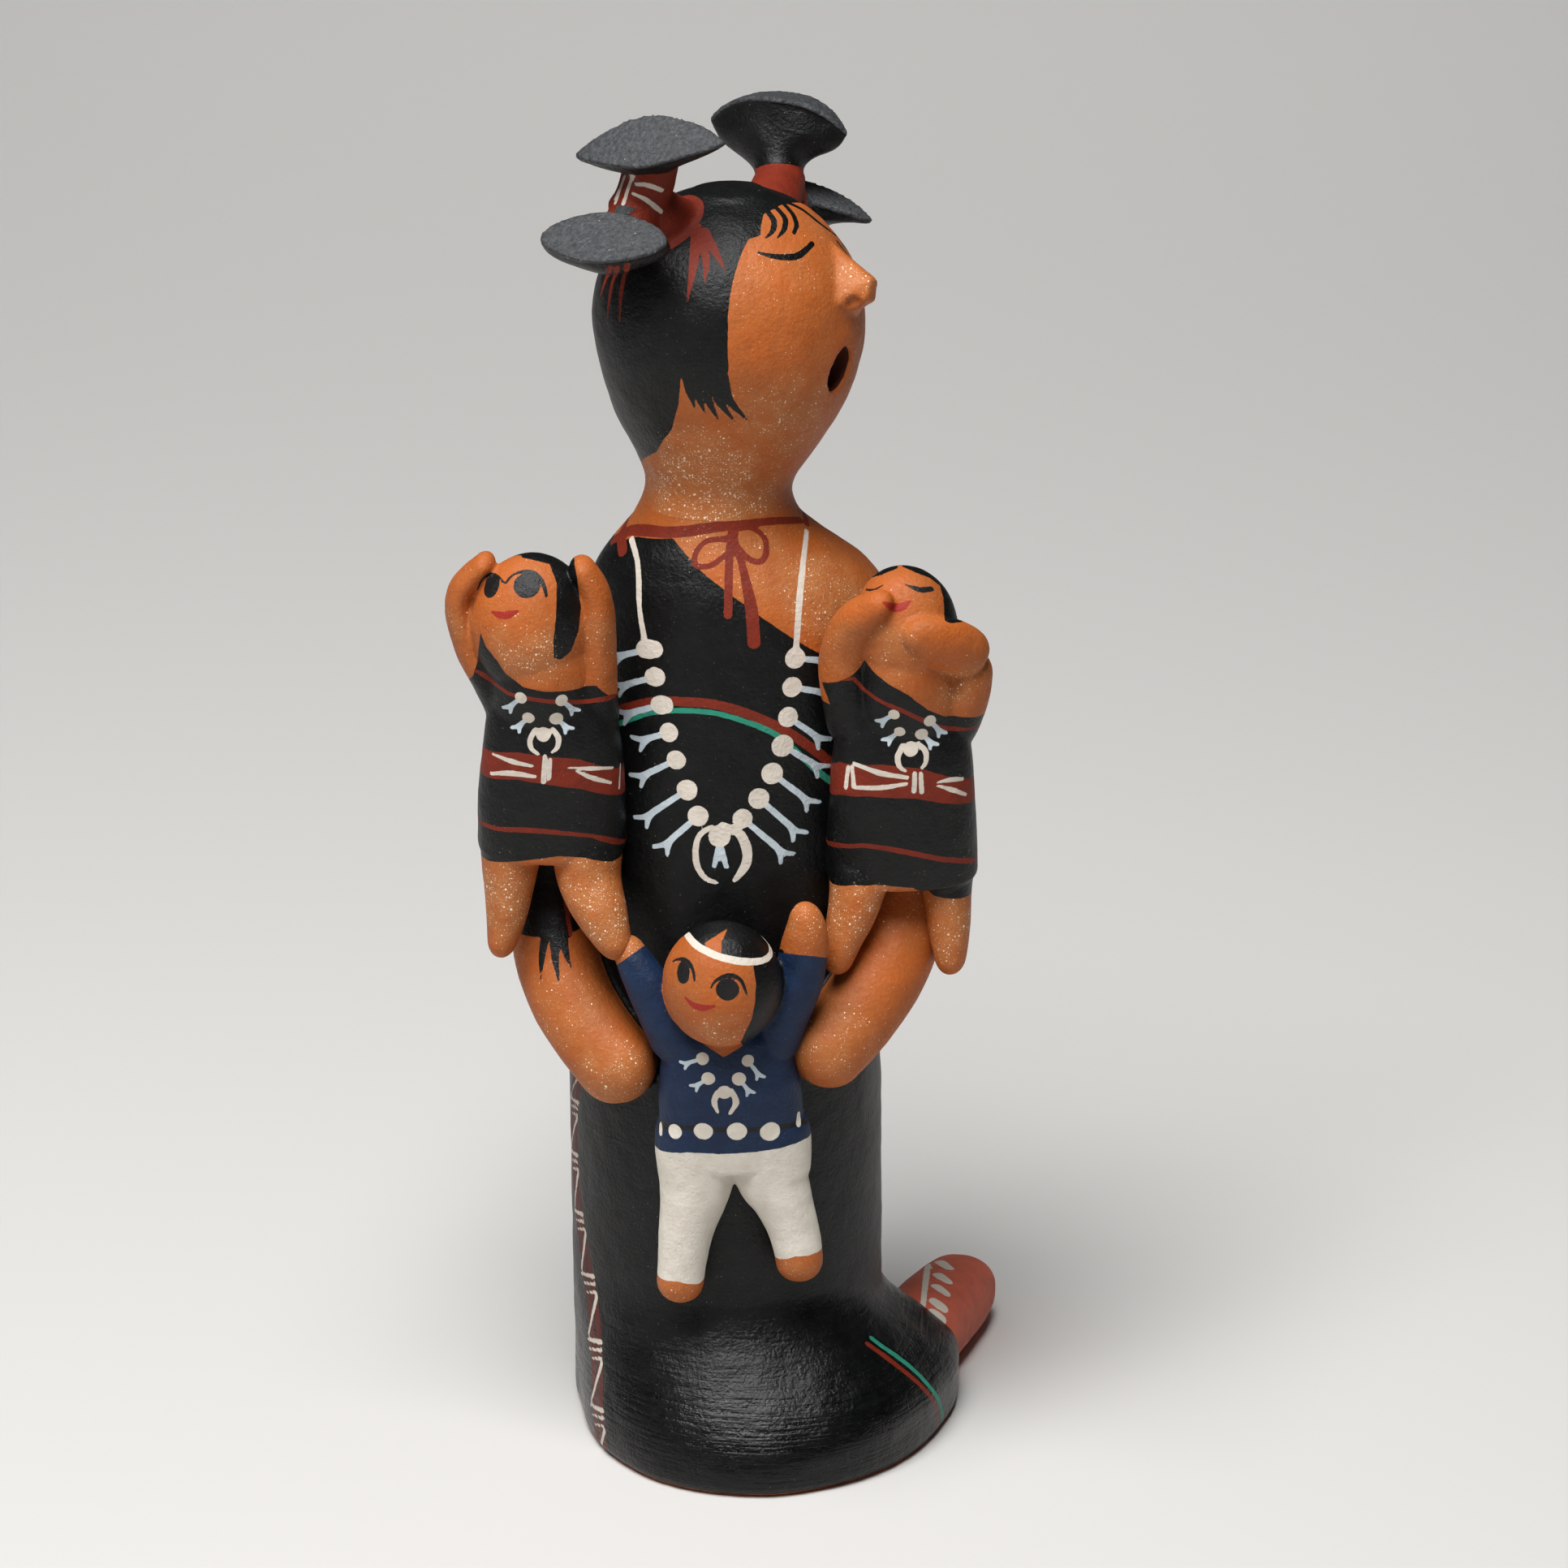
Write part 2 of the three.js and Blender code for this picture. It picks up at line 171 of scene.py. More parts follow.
# Values read between the rows of a table without kinks. A row is [place, value, value...]
def smoothRows(rows, places):
    rows = np.array(rows, float)
    i = np.clip(np.searchsorted(rows[:, 0], places) - 1, 0, len(rows) - 2)
    before, start, end, after = (rows[np.clip(i + k, 0, len(rows) - 1)] for k in (-1, 0, 1, 2))
    span = (end - start)[:, :1]
    t = np.clip((places[:, None] - start[:, :1]) / span, 0, 1)
    leaving = (end - before) / (end - before)[:, :1] * span
    arriving = (after - start) / (after - start)[:, :1] * span
    curve = 2 * (start - end) + leaving + arriving
    return start + t * (leaving + t * (3 * (end - start) - 2 * leaving - arriving + t * curve))


def smoothStep(value, low, high):
    t = np.clip((value - low) / (high - low), 0, 1)
    return t * t * (3 - 2 * t)


def unit(vectors):
    return vectors / np.linalg.norm(vectors, axis=-1, keepdims=True)


# Turns a form's faces outwards, once it is wrapped in its hull where it needs one
def turnOutwards(form, wrapped=False):
    bpy.ops.object.mode_set(mode="EDIT")
    bpy.ops.mesh.select_all(action="SELECT")
    if wrapped:
        bpy.ops.mesh.convex_hull()
    bpy.ops.mesh.normals_make_consistent(inside=False)
    bpy.ops.object.mode_set(mode="OBJECT")
    return form


# A ball is added with its poles at the two ends of a form, and place() carries its points there
def shapeBall(sides, rings, place):
    selectOnly()
    bpy.ops.mesh.primitive_uv_sphere_add(segments=sides, ring_count=rings, radius=1)
    form = bpy.context.object
    ball = pointsOf(form) * mm
    angle = np.arctan2(ball[:, 1], ball[:, 0])
    setPoints(form, place((ball[:, 2] + 1) / 2, angle))
    return turnOutwards(form)


# An oval's sine or cosine, squarer for a power over 2 and more pointed under it
def bend(value, power):
    return np.sign(value) * np.abs(value) ** (2 / power)


fineSteps, waySteps = 400, 60    # a path is read in so many steps, and its way over two of so many


# Points along a smooth path, with the way it runs there, for shares of its length
def alongPath(path, shares):
    path = np.array(path, float)
    chords = np.r_[0, np.cumsum(np.linalg.norm(np.diff(path, axis=0), axis=1) ** 0.5)]
    fine = smoothRows(np.c_[chords, path], np.linspace(0, chords[-1], fineSteps))[:, 1:]
    lengths = np.r_[0, np.cumsum(np.linalg.norm(np.diff(fine, axis=0), axis=1))]
    wanted = shares * lengths[-1]
    read = lambda where: np.stack([np.interp(where, lengths, fine[:, k]) for k in range(3)], 1)
    step = lengths[-1] / waySteps
    return read(wanted), unit(read(wanted + step) - read(wanted - step)), lengths[-1]


# A roll of clay: an oval section carried along a path and rounded off at its ends. Widths and
# depths are whole sizes in mm, depth is measured towards facing, and ends say how round each end is
def roll(path, widths, depths, facing=(0, -1, 0), power=2, ends=(1, 1), sides=36, rings=44):
    def place(share, angle):
        centre, along, length = alongPath(path, share)
        facingWay = np.array(facing, float)
        deep = unit(facingWay - along * (along @ facingWay)[:, None])
        wide = unit(np.cross(along, deep))
        rows = lambda sizes: [[i / (len(sizes) - 1), size / 2] for i, size in enumerate(sizes)]
        halfWidth = smoothRows(rows(widths), share)[:, 1]
        halfDepth = smoothRows(rows(depths), share)[:, 1]
        for toEnd, rounding in zip((share * length, (1 - share) * length), ends):
            reach = rounding * np.minimum(halfWidth, halfDepth)
            shrink = np.sqrt(1 - (1 - np.clip(toEnd / reach, 0, 1)) ** 2)
            halfWidth, halfDepth = halfWidth * shrink, halfDepth * shrink
        across = -bend(np.cos(angle), power) * halfWidth
        towards = bend(np.sin(angle), power) * halfDepth
        return centre + wide * across[:, None] + deep * towards[:, None]
    return shapeBall(sides, rings, place)


def egg(centre, halfSizes, lean):
    selectOnly()
    bpy.ops.mesh.primitive_uv_sphere_add(
        segments=48, ring_count=32, radius=mm, location=Vector(centre) * mm,
        rotation=(0, math.radians(lean), 0), scale=halfSizes)
    bpy.ops.object.transform_apply(location=True, rotation=True, scale=True)
    return bpy.context.object


# Forms pressed together into one skin: joined, remeshed in small cells and smoothed by thumb
def pressTogether(name, forms, cell, strokes=8):
    selectOnly(*forms)
    bpy.ops.object.join()
    piece = bpy.context.object
    piece.name = piece.data.name = name
    finish(piece, "REMESH", mode="VOXEL", voxel_size=cell * mm)
    finish(piece, "SMOOTH", factor=0.5, iterations=strokes)
    return piece


# A group of a piece's points, each with a share from 0 to 1, in so many steps
def groupPoints(piece, name, shares, count=20):
    group = piece.vertex_groups.new(name=name)
    steps = np.round(np.clip(shares, 0, 1) * count).astype(int)
    for step in range(1, count + 1):
        group.add(np.nonzero(steps == step)[0].tolist(), step / count, "REPLACE")


# Lumps in the clay: their size across and how far they stand up or in, in mm
def makeUneven(piece, name, size, depth, group=""):
    lumps = bpy.data.textures.new(name, "CLOUDS")
    lumps.noise_scale = size * mm
    lumps.noise_depth = 2
    finish(piece, "DISPLACE", texture=lumps, strength=depth * mm, mid_level=0.5, vertex_group=group)


# Adds a modifier with its settings and applies it
def finish(piece, kind, **settings):
    selectOnly(piece)
    modifier = piece.modifiers.new(kind.title(), kind)
    for name, value in settings.items():
        setattr(modifier, name, value)
    bpy.ops.object.modifier_apply(modifier=modifier.name)


# Cuts a piece off flat at a height, keeps one side and closes it
def cutFlat(piece, height, keepAbove):
    selectOnly(piece)
    bpy.ops.object.mode_set(mode="EDIT")
    bpy.ops.mesh.select_all(action="SELECT")
    bpy.ops.mesh.bisect(plane_co=(0, 0, height * mm), plane_no=(0, 0, 1), use_fill=True,
                        clear_inner=keepAbove, clear_outer=not keepAbove, threshold=1e-7)
    bpy.ops.object.mode_set(mode="OBJECT")


# The woman: skirt, torso, shoulders, neck and head begin as one skin

woman = {
    # height, half width, half depth, how far to the side and to the back, all in mm
    "rows": [
        [0, 32, 32, -1, 0], [40, 32.3, 32.3, -1, 0], [75, 32.2, 32, -1.3, 0],
        [110, 31.5, 30, -1, 0.5], [150, 31, 27, 0.5, 1], [170, 31, 25, 1.2, 1],
        [179, 30.2, 23.6, 1.4, 1], [185, 27, 21.4, 0.2, 0.5], [190, 22, 18.6, -1.4, 0],
        [195, 17, 16, -2.4, 0], [200, 14.9, 14.6, -2.3, 0], [204, 15.2, 15, -1.8, 0],
        [210, 18.4, 17.6, -0.9, 0], [217, 22.3, 20.8, -0.4, 0], [225, 25.4, 23.8, 0, 0],
        [235, 27.1, 25.4, 0, 0], [245, 25.9, 24.2, -0.2, 0], [253, 21.4, 20, -0.2, 0],
        [259, 14.7, 13.8, 0, 0], [262.2, 7.6, 7.2, 0, 0],
    ],
    "crown": 263.4,
    "legBulge": 20,        # how far the folded legs push the skirt out
    "skirtEdge": 2.5,      # rounding where the skirt meets the floor
    "headTurn": 72, "headTilt": 31, "headRoll": 18,   # degrees
    "headCentre": (0, 0, 235),
    "mouth": {"wide": 7.9, "high": 10.6, "deep": 9, "narrowing": 0.8},
    "mouthPlace": (0, 20.6, -20.4),       # to the side, forward and up from the middle of the head
    "armThickness": 17.5,
    "armWidths": (1, 1.05, 1, 1, 0.92), "armDepths": (1, 1.05, 1, 0.95, 0.85),   # shares of it
    "rightArm": [(-21, 0, 177), (-31, -2, 150), (-36.5, -8, 122), (-33, -20, 100), (-18.3, -33.2, 82.3)],
    "leftArm": [(23, 1, 173), (31, -2, 148), (36, -9, 122), (31, -21, 104), (15, -33.5, 86)],
    "neckCut": 198.5, "skirtCut": 68,     # heights where the skin is parted into pieces
    "bodyCell": 0.65, "headCell": 0.47,   # cells that the skins are remeshed in, mm
}


# How much of the legs' bulge the skirt takes. The folded legs lie to the front and to the woman's
# left, and angle is degrees round from the front
def skirtSwell(angle, height):
    front = smoothStep(angle, -80, 15) * (1 - 0.16 * smoothStep(angle, 25, 75))
    low, top = 4 + 5 * smoothStep(angle, 0, 45), 36 - 9 * smoothStep(angle, 30, 90)
    return front * (1 - smoothStep(angle, 92, 128)) * (1 - smoothStep(height, low, top))


atPole = 1e-9    # a share of the height this near to an end is its pole


def womanSkin():
    def place(share, angle):
        height = share * woman["crown"]
        rows = smoothRows(woman["rows"], height)
        lastRow = woman["rows"][-1][0]
        dome = np.sqrt(1 - np.clip((height - lastRow) / (woman["crown"] - lastRow), 0, 1) ** 2)
        drop = np.clip(1 - height / woman["skirtEdge"], 0, 1)
        inset = woman["skirtEdge"] * (1 - np.sqrt(1 - drop * drop))
        bearing = (np.degrees(angle) + 240) % 360 - 150      # degrees from the front, -150 to 210
        swell = woman["legBulge"] * skirtSwell(bearing, height) - inset
        swell = np.where((share < atPole) | (share > 1 - atPole), 0, swell)
        dome = np.where(share < atPole, 0, dome)
        outward = np.stack([np.cos(angle), np.sin(angle)], 1)
        flat = rows[:, 3:5] + outward * (rows[:, 1:3] * dome[:, None] + swell[:, None])
        return np.c_[flat, height]
    return shapeBall(128, 240, place)


# Directions of the turned head: to its own right, forward and up
turn, tilt = math.radians(woman["headTurn"]), math.radians(woman["headTilt"])
headForward = Vector((math.sin(turn) * math.cos(tilt), -math.cos(turn) * math.cos(tilt), math.sin(tilt)))
headRight = Matrix.Rotation(-math.radians(woman["headRoll"]), 3, headForward) @ Vector(
    (-math.cos(turn), -math.sin(turn), 0))
headUp = headRight.cross(headForward)


def onHead(right, forward, up):
    return Vector(woman["headCentre"]) + headRight * right + headForward * forward + headUp * up


# Clay pinched to flat sides between corners
def pinch(corners):
    selectOnly()
    bpy.ops.mesh.primitive_circle_add(vertices=len(corners))
    form = bpy.context.object
    setPoints(form, np.array(corners, float))
    return turnOutwards(form, wrapped=True)


# Each place is to the side, forward and up from the middle of the head, in mm
nose = {
    "ridge": [(0, 25.6, 9), (0, 29.9, 0.4), (0, 17, 7), (0, 17, -9), (0, 23.5, -10.2)],
    "sides": [(1.5, 24.6, 8.4), (1.7, 28.6, 0.2), (1.5, 32.7, -5.4), (1.8, 30.6, -8.8),
              (5.5, 25.2, -3.4), (6.2, 24.6, -7.2), (4.6, 23, -9.6)],
    "nostril": (3.3, 28.2, -8.6), "nostrilSize": 1.7,
}


def noseForms():
    corners = [onHead(*place) for place in nose["ridge"]]
    corners += [onHead(side * place[0], *place[1:]) for place in nose["sides"] for side in (-1, 1)]
    form = pinch(corners)
    for side in (-1, 1):
        place = onHead(side * nose["nostril"][0], *nose["nostril"][1:])
        hollow(form, egg(place, (nose["nostrilSize"],) * 3, 0))
    return [form]


def scaled(shares, size):
    return [share * size for share in shares]


# Takes a hollow out of a piece
def hollow(piece, cutter):
    finish(piece, "BOOLEAN", operation="DIFFERENCE", object=cutter, solver="EXACT")
    bpy.data.objects.remove(cutter)


def mouthHollow():
    mouth = woman["mouth"]
    rim = onHead(*woman["mouthPlace"])
    inward = (Vector(woman["headCentre"]) - rim).normalized()
    narrowing = (1, mouth["narrowing"])
    return roll([rim - inward * 2, rim + inward * mouth["deep"]], scaled(narrowing, mouth["wide"]),
                scaled(narrowing, mouth["high"]), facing=headUp, ends=(0.05, 0.9))


# A hair bun stands off the head on a stalk, tied at its waist, with two flared ends. An end bends
# at its knee, so many mm below the middle of its cut face. It widens over flare, a share of its
# length, up to rim, and is a slab from there outwards. shoulder is how wide it is halfway, as a
# share of its width, point is how square the slab's outline is, and arch how far its corners drop.
# lean lifts the front of the cut face and tipUp turns its thick direction up, in radians
hairBuns = {
    "waistThick": 10.5, "stalkEnds": (1.25, 0.94),    # the stalk's thickness as shares of the waist's
    "near": {
        "root": (-8, -4, 254), "waist": (-17.4, -13.5, 264),
        "ends": [
            {"tip": (-15.9, -20, 278.2), "width": 31.2, "thick": 13, "lean": 0.17, "tipUp": 0.64,
             "point": 1.4, "arch": 2.2, "knee": 8, "rim": 0.9, "flare": 0.2},
            {"tip": (-24.4, -25.5, 260.6), "width": 26, "thick": 13.6, "lean": 0.04, "tipUp": 0.52,
             "point": 1.72, "arch": 0.6, "knee": 10, "rim": 0.78, "flare": 0.34},
        ],
    },
    "far": {
        "root": (7, 12, 252), "waist": (10, 30, 255.5),
        "ends": [
            {"tip": (10.3, 37, 271.9), "width": 29.6, "thick": 12, "lean": -0.02, "tipUp": -0.14,
             "point": 1.4, "arch": 6.4, "knee": 8, "rim": 0.9, "flare": 0.65, "shoulder": 0.4},
            {"from": (12.2, 31.2, 249), "tip": (17.3, 35, 252), "width": 26, "thick": 11, "lean": -0.27,
             "tipUp": 0, "point": 1.45, "arch": 1.2, "knee": 6, "rim": 0.9, "flare": 0.42},
        ],
    },
}


# The broad and thick directions of an end's cut face, and the way that it faces
def bunEndAxes(end):
    turned = Matrix.Rotation(turn - math.pi / 2, 3, "Z") @ Matrix.Rotation(-end["lean"], 3, "Y")
    broad = turned @ Vector((1, 0, 0))
    thick = turned @ Vector((0, math.cos(end["tipUp"]), math.sin(end["tipUp"])))
    return np.array(broad), np.array(thick), np.array(broad.cross(thick))


def bunEnd(waist, end):
    broad, thick, facing = bunEndAxes(end)
    start, tip = np.array(end.get("from", waist), float), np.array(end["tip"], float)
    knee = tip - facing * end["knee"]
    inner, waistHalf, rim = -0.2, hairBuns["waistThick"] / 2, end["rim"]
    # Share of the length, half width, half thickness and power of the outline
    rows = [[inner, waistHalf, waistHalf, 2], [rim - end["flare"], waistHalf * 1.02, waistHalf, 2],
            [rim - end["flare"] * 0.45, end["width"] * end.get("shoulder", 0.3),
             waistHalf * 0.55 + end["thick"] * 0.22, 2],
            [rim, end["width"] * 0.485, end["thick"] * 0.48, end["point"]],
            [1, end["width"] / 2, end["thick"] / 2, end["point"]]]

    # The first tenth of the ball closes the inner end, the last third is the cut face
    def place(share, angle):
        turned = np.arccos(np.clip(1 - 2 * share, -1, 1)) / math.pi
        closing, face = 0.1, 0.66
        along = inner + (1 - inner) * np.clip((turned - closing) / (face - closing), 0, 1)
        radial = np.minimum(np.clip(turned / closing, 0, 1), np.clip((1 - turned) / (1 - face), 0, 1))
        sizes = smoothRows(rows, along)
        across = bend(np.cos(angle), sizes[:, 3]) * radial
        upright = bend(np.sin(angle), sizes[:, 3]) * radial
        along = along[:, None]
        middle = (1 - along) ** 2 * start + 2 * along * (1 - along) * knee + along ** 2 * tip
        way = unit((1 - along) * (knee - start) + along * (tip - knee))
        settled = smoothStep(along, 0.2, 0.85)
        square = unit(broad - way * (way @ broad)[:, None])
        wide = unit(square * (1 - settled) + broad * settled)
        squareUp = np.cross(way, square)
        squareUp *= np.sign(squareUp @ thick)[:, None]
        deep = unit(squareUp * (1 - settled) + thick * settled)
        drop = end["arch"] * np.clip(along, 0, 1) * np.abs(across)[:, None] ** 2.6
        return (middle - facing * drop + wide * (across * sizes[:, 1])[:, None]
                + deep * (upright * sizes[:, 2])[:, None])
    return shapeBall(96, 110, place)


def bunForms(bun):
    thick = scaled(hairBuns["stalkEnds"], hairBuns["waistThick"])
    root, waist = Vector(bun["root"]), Vector(bun["waist"])
    stalk = roll([root, waist.lerp(root, -0.12)], thick, thick, facing=headForward, ends=(0.05, 0.05))
    return [stalk, *[bunEnd(bun["waist"], end) for end in bun["ends"]]]


# How far points are behind the cut face of a bun's end, and how far outside its rim
def behindAndBeside(end, points):
    broad, thick, facing = bunEndAxes(end)
    out = points - np.array(end["tip"])
    drop = end["arch"] * np.clip(np.abs(out @ broad) / end["width"] * 2, 0, 1) ** 2.6
    beside = np.hypot((out @ broad) / end["width"] * 2, (out @ thick) / end["thick"] * 2) - 1
    return -(out @ facing) - drop, beside * end["thick"] / 2


bunEnds = [end for bun in ("near", "far") for end in hairBuns[bun]["ends"]]


# How far points are from the nearest cut face, in mm, less than nothing on it
def awayFromCutFaces(points):
    away = [behindAndBeside(end, points) for end in bunEnds]
    return np.min([np.maximum(np.abs(behind) - 0.5, beside - 1.6) for behind, beside in away], axis=0)


def armForms():
    widths, depths = (scaled(woman[key], woman["armThickness"]) for key in ("armWidths", "armDepths"))
    return [roll(woman[arm], widths, depths, sides=48, rings=70) for arm in ("rightArm", "leftArm")]


# A child: an egg of a head on a flat slab of a body, and limbs, the arms first, each with its path,
# widths and depths. Body depths are shares of childDepth, and limbs' widths and depths are shares of
# childLimb, both in mm. The girls' last rolls fill the shoulder and the neck
childDepth, childLimb = 19, 10
girlOnRightArm = {
    "name": "girlOnRightArm", "cell": 0.42,
    "head": {"centre": (-39.2, -25, 180.5), "halfSizes": (12.1, 10.4, 14.6), "lean": 4},
    "body": {"path": [(-35.7, -21, 130.5), (-35.7, -22, 140), (-35.5, -23, 156), (-36.5, -23, 171)],
             "widths": [30.2, 29.4, 27, 22], "depths": [1.02, 1, 0.96, 0.72], "ends": (0.25, 0.8)},
    "limbs": [
        ([(-43, -21, 158), (-47, -22, 166.5), (-52.2, -22, 176), (-53.4, -22.5, 186),
          (-47, -25.5, 194.8)],
         [0.9, 0.76, 0.58, 0.52, 0.42], [1.2, 1.05, 1, 0.95, 0.65]),
        ([(-27.5, -23, 156), (-26.8, -24, 168), (-26, -25, 178), (-26.6, -26, 187), (-30, -27, 195)],
         [1.15, 0.95, 0.78, 0.68, 0.45], [1.3, 1.15, 1.05, 1, 0.7]),
        ([(-44, -22, 138), (-44.2, -23, 127), (-45.2, -24.5, 117.5), (-46.6, -26, 109.3)],
         [1.4, 1.15, 0.86, 0.5], [1.5, 1.3, 1, 0.6]),
        ([(-28.6, -23, 138), (-28.2, -25.5, 127), (-25.6, -29.5, 120), (-21.6, -34, 112.2)],
         [1.55, 1.36, 1.05, 0.5], [1.5, 1.35, 1.1, 0.65]),
        ([(-38, -24.5, 186), (-37.5, -25, 172), (-36, -24, 154)],
         [1.8, 2.1, 2.3], [1.6, 1.78, 1.1]),
    ],
}
girlOnLeftArm = {
    "name": "girlOnLeftArm", "cell": 0.42,
    "head": {"centre": (35, -23.5, 178.7), "halfSizes": (10.6, 10, 13.3), "lean": -6},
    "body": {"path": [(34.6, -19, 124.5), (34.6, -20.5, 134), (34.6, -21.5, 150), (34.4, -21, 167)],
             "widths": [31, 30, 27.8, 22], "depths": [1.02, 1, 0.96, 0.72], "ends": (0.25, 0.8)},
    "limbs": [
        ([(25.5, -22, 155), (23.4, -24, 165), (22.9, -25, 173), (25, -28, 181.5), (31.5, -33, 189)],
         [1.1, 1, 1, 0.88, 0.45], [1.2, 1.1, 1, 0.9, 0.55]),
        ([(49.2, -24, 172.5), (45.5, -28, 176.5), (40.5, -31.5, 179.5), (34.6, -34, 182.6)],
         [0.95, 1.08, 1, 0.55], [0.9, 0.85, 0.75, 0.5]),
        ([(27.3, -21, 132), (25.2, -24.5, 121), (22.8, -27, 113.5), (21, -29, 107)],
         [1.5, 1.15, 0.85, 0.5], [1.5, 1.3, 1, 0.65]),
        ([(43.3, -19.5, 130), (44, -21, 118), (44.4, -22.5, 111), (44.8, -23.5, 104.6)],
         [1.35, 1, 0.84, 0.5], [1.4, 1.15, 0.95, 0.55]),
        ([(41.5, -19.5, 153), (45.5, -21.5, 161), (47.6, -23, 168), (48, -24.5, 174.5)],
         [1.2, 1.12, 1, 0.8], [1.3, 1.2, 1.1, 0.9]),
        ([(34.6, -23.5, 184), (35, -24, 170), (36, -22.5, 152)],
         [1.7, 2, 2.3], [1.6, 1.72, 1.1]),
    ],
}
boyInFront = {
    "name": "boyInFront", "cell": 0.36,
    "head": {"centre": (-1.4, -40, 109.5), "halfSizes": (12, 11, 12.9), "lean": -4},
    "body": {"path": [(0.6, -32, 66), (0.2, -32.3, 77), (-0.5, -32.5, 90), (-1.2, -32, 101)],
             "widths": [27.6, 29.2, 27.4, 22], "depths": [0.78, 0.88, 0.96, 0.86], "ends": (0.25, 0.7)},
    "limbs": [
        ([(-8, -33, 91), (-12, -34, 98.5), (-16, -34, 105.8), (-19.6, -32.5, 112),
          (-21.6, -30, 115.6)],
         [1.25, 1.15, 0.95, 0.8, 0.5], [1.3, 1.2, 1, 0.85, 0.6]),
        ([(7, -33, 90), (9.6, -34, 98.5), (13, -34.5, 106), (14.7, -35, 113), (15.3, -36, 120),
          (14.8, -36.5, 125.6)],
         [1.2, 1.15, 1.05, 1.02, 0.92, 0.5], [1.3, 1.2, 1.1, 1, 0.85, 0.5]),
        ([(-6.8, -32.8, 82), (-6.9, -33, 65), (-7.6, -33.5, 59.5), (-8.9, -34, 53.5),
          (-9.9, -35, 45.5), (-10.6, -36.5, 37.5)],
         [1.5, 1.7, 1.53, 1.2, 1.02, 0.95], [1.45, 1.4, 1.3, 1.15, 1, 0.85]),
        ([(7, -32.8, 82), (8.6, -33, 65), (10.6, -33.5, 59.5), (12.7, -34, 53.5), (13.8, -35, 48),
          (14.4, -36, 42)],
         [1.5, 1.75, 1.6, 1.18, 1, 0.95], [1.45, 1.4, 1.3, 1.15, 1, 0.85]),
    ],
}


def makeChild(child):
    body = child["body"]
    forms = [egg(**child["head"]),
             roll(body["path"], body["widths"], scaled(body["depths"], childDepth),
                  power=2.6, ends=body["ends"], sides=64, rings=60)]
    for path, widths, depths in child["limbs"]:
        forms.append(roll(path, scaled(widths, childLimb), scaled(depths, childLimb)))
    return pressTogether(child["name"], forms, child["cell"])


# Two moccasins lie one against the other where the folded legs come out of the skirt
moccasins = {
    "high": 17.5, "cell": 0.42,
    "widths": [1.1, 1.05, 1, 0.84], "depths": [1, 1.04, 0.92, 0.76],   # shares of high
    "paths": [
        [(36, 1.5, 8.75), (41, 14, 8.6), (46.2, 28, 7.8), (51, 42, 6.6)],
        [(14, 14, 7.4), (19, 21, 6.6), (24, 28, 6.1), (28, 34, 5.3)],
    ],
}


def makeMoccasins():
    widths, depths = (scaled(moccasins[key], moccasins["high"]) for key in ("widths", "depths"))
    forms = [roll(path, widths, depths, facing=(0, 0, 1), power=2.3, sides=48, rings=60)
             for path in moccasins["paths"]]
    piece = pressTogether("moccasins", forms, moccasins["cell"])
    cutFlat(piece, 0, keepAbove=True)
    return piece


# Torn clay round the cut faces of the buns is left rough: how far off them the rest is smoothed,
# how far the roughness reaches, and its lumps' size and depth, all in mm
torn = {"smoothFrom": (1.5, 5), "reach": (0.8, 2.6), "lumps": 1.1, "depth": 0.3}


def makeWoman():
    skirt = pressTogether("skirt", [womanSkin()], woman["bodyCell"])
    cutFlat(skirt, woman["skirtCut"], keepAbove=False)
    print("skirt is shaped")
    torso = pressTogether("torsoAndArms", [womanSkin(), *armForms()], woman["bodyCell"])
    cutFlat(torso, woman["neckCut"], keepAbove=False)
    cutFlat(torso, woman["skirtCut"], keepAbove=True)
    print("torso and arms are shaped")
    skin = womanSkin()
    hollow(skin, mouthHollow())
    head = pressTogether("headAndHair", [skin, *noseForms(), *bunForms(hairBuns["near"]),
                                         *bunForms(hairBuns["far"])], woman["headCell"], strokes=2)
    groupPoints(head, "skin", smoothStep(awayFromCutFaces(pointsOf(head)), *torn["smoothFrom"]))
    finish(head, "SMOOTH", factor=0.5, iterations=6, vertex_group="skin")
    groupPoints(head, "brokenClay", 1 - smoothStep(awayFromCutFaces(pointsOf(head)), *torn["reach"]))
    makeUneven(head, "brokenClay", torn["lumps"], torn["depth"], "brokenClay")
    cutFlat(head, woman["neckCut"], keepAbove=True)
    print("head and hair are shaped")
    return skirt, torso, head


skirt, torso, head = makeWoman()
girlRight = makeChild(girlOnRightArm)
girlLeft = makeChild(girlOnLeftArm)
boy = makeChild(boyInFront)
shoes = makeMoccasins()
pieces = [skirt, torso, head, girlRight, girlLeft, boy, shoes]
handPressed = {"lumps": 9, "depth": 0.5}    # mm
for piece in pieces:
    makeUneven(piece, "handPressed", handPressed["lumps"], handPressed["depth"])
print("all pieces are shaped")


# Paint. A stroke is a line of pixels of the photograph with its widths in mm from start to end. It
# is found on the clay by looking through its pixels, and each kind of paint keeps for every point of
# a piece how far it is from the paint's edge in mm, less than nothing where it is painted

middlePx = photo["framePx"] / 2
pixelSize = photo["distance"] / photo["focalPx"]    # mm that a pixel covers on the figure
farAway = 9.0                                       # mm beyond which a distance doesn't count
surfaces = {}


def toPicture(points):
    seen = (points - np.array(cameraPlace)) @ np.array(cameraTurn)
    return middlePx + seen[:, :2] * (1, -1) * (photo["focalPx"] / -seen[:, 2:3])


def surfaceOf(piece):
    if piece.name not in surfaces:
        points = pointsOf(piece)
        surfaces[piece.name] = {"points": points, "picture": toPicture(points), "paints": {}}
    return surfaces[piece.name]


def clayOf(piece):
    return surfaceOf(piece)["points"]


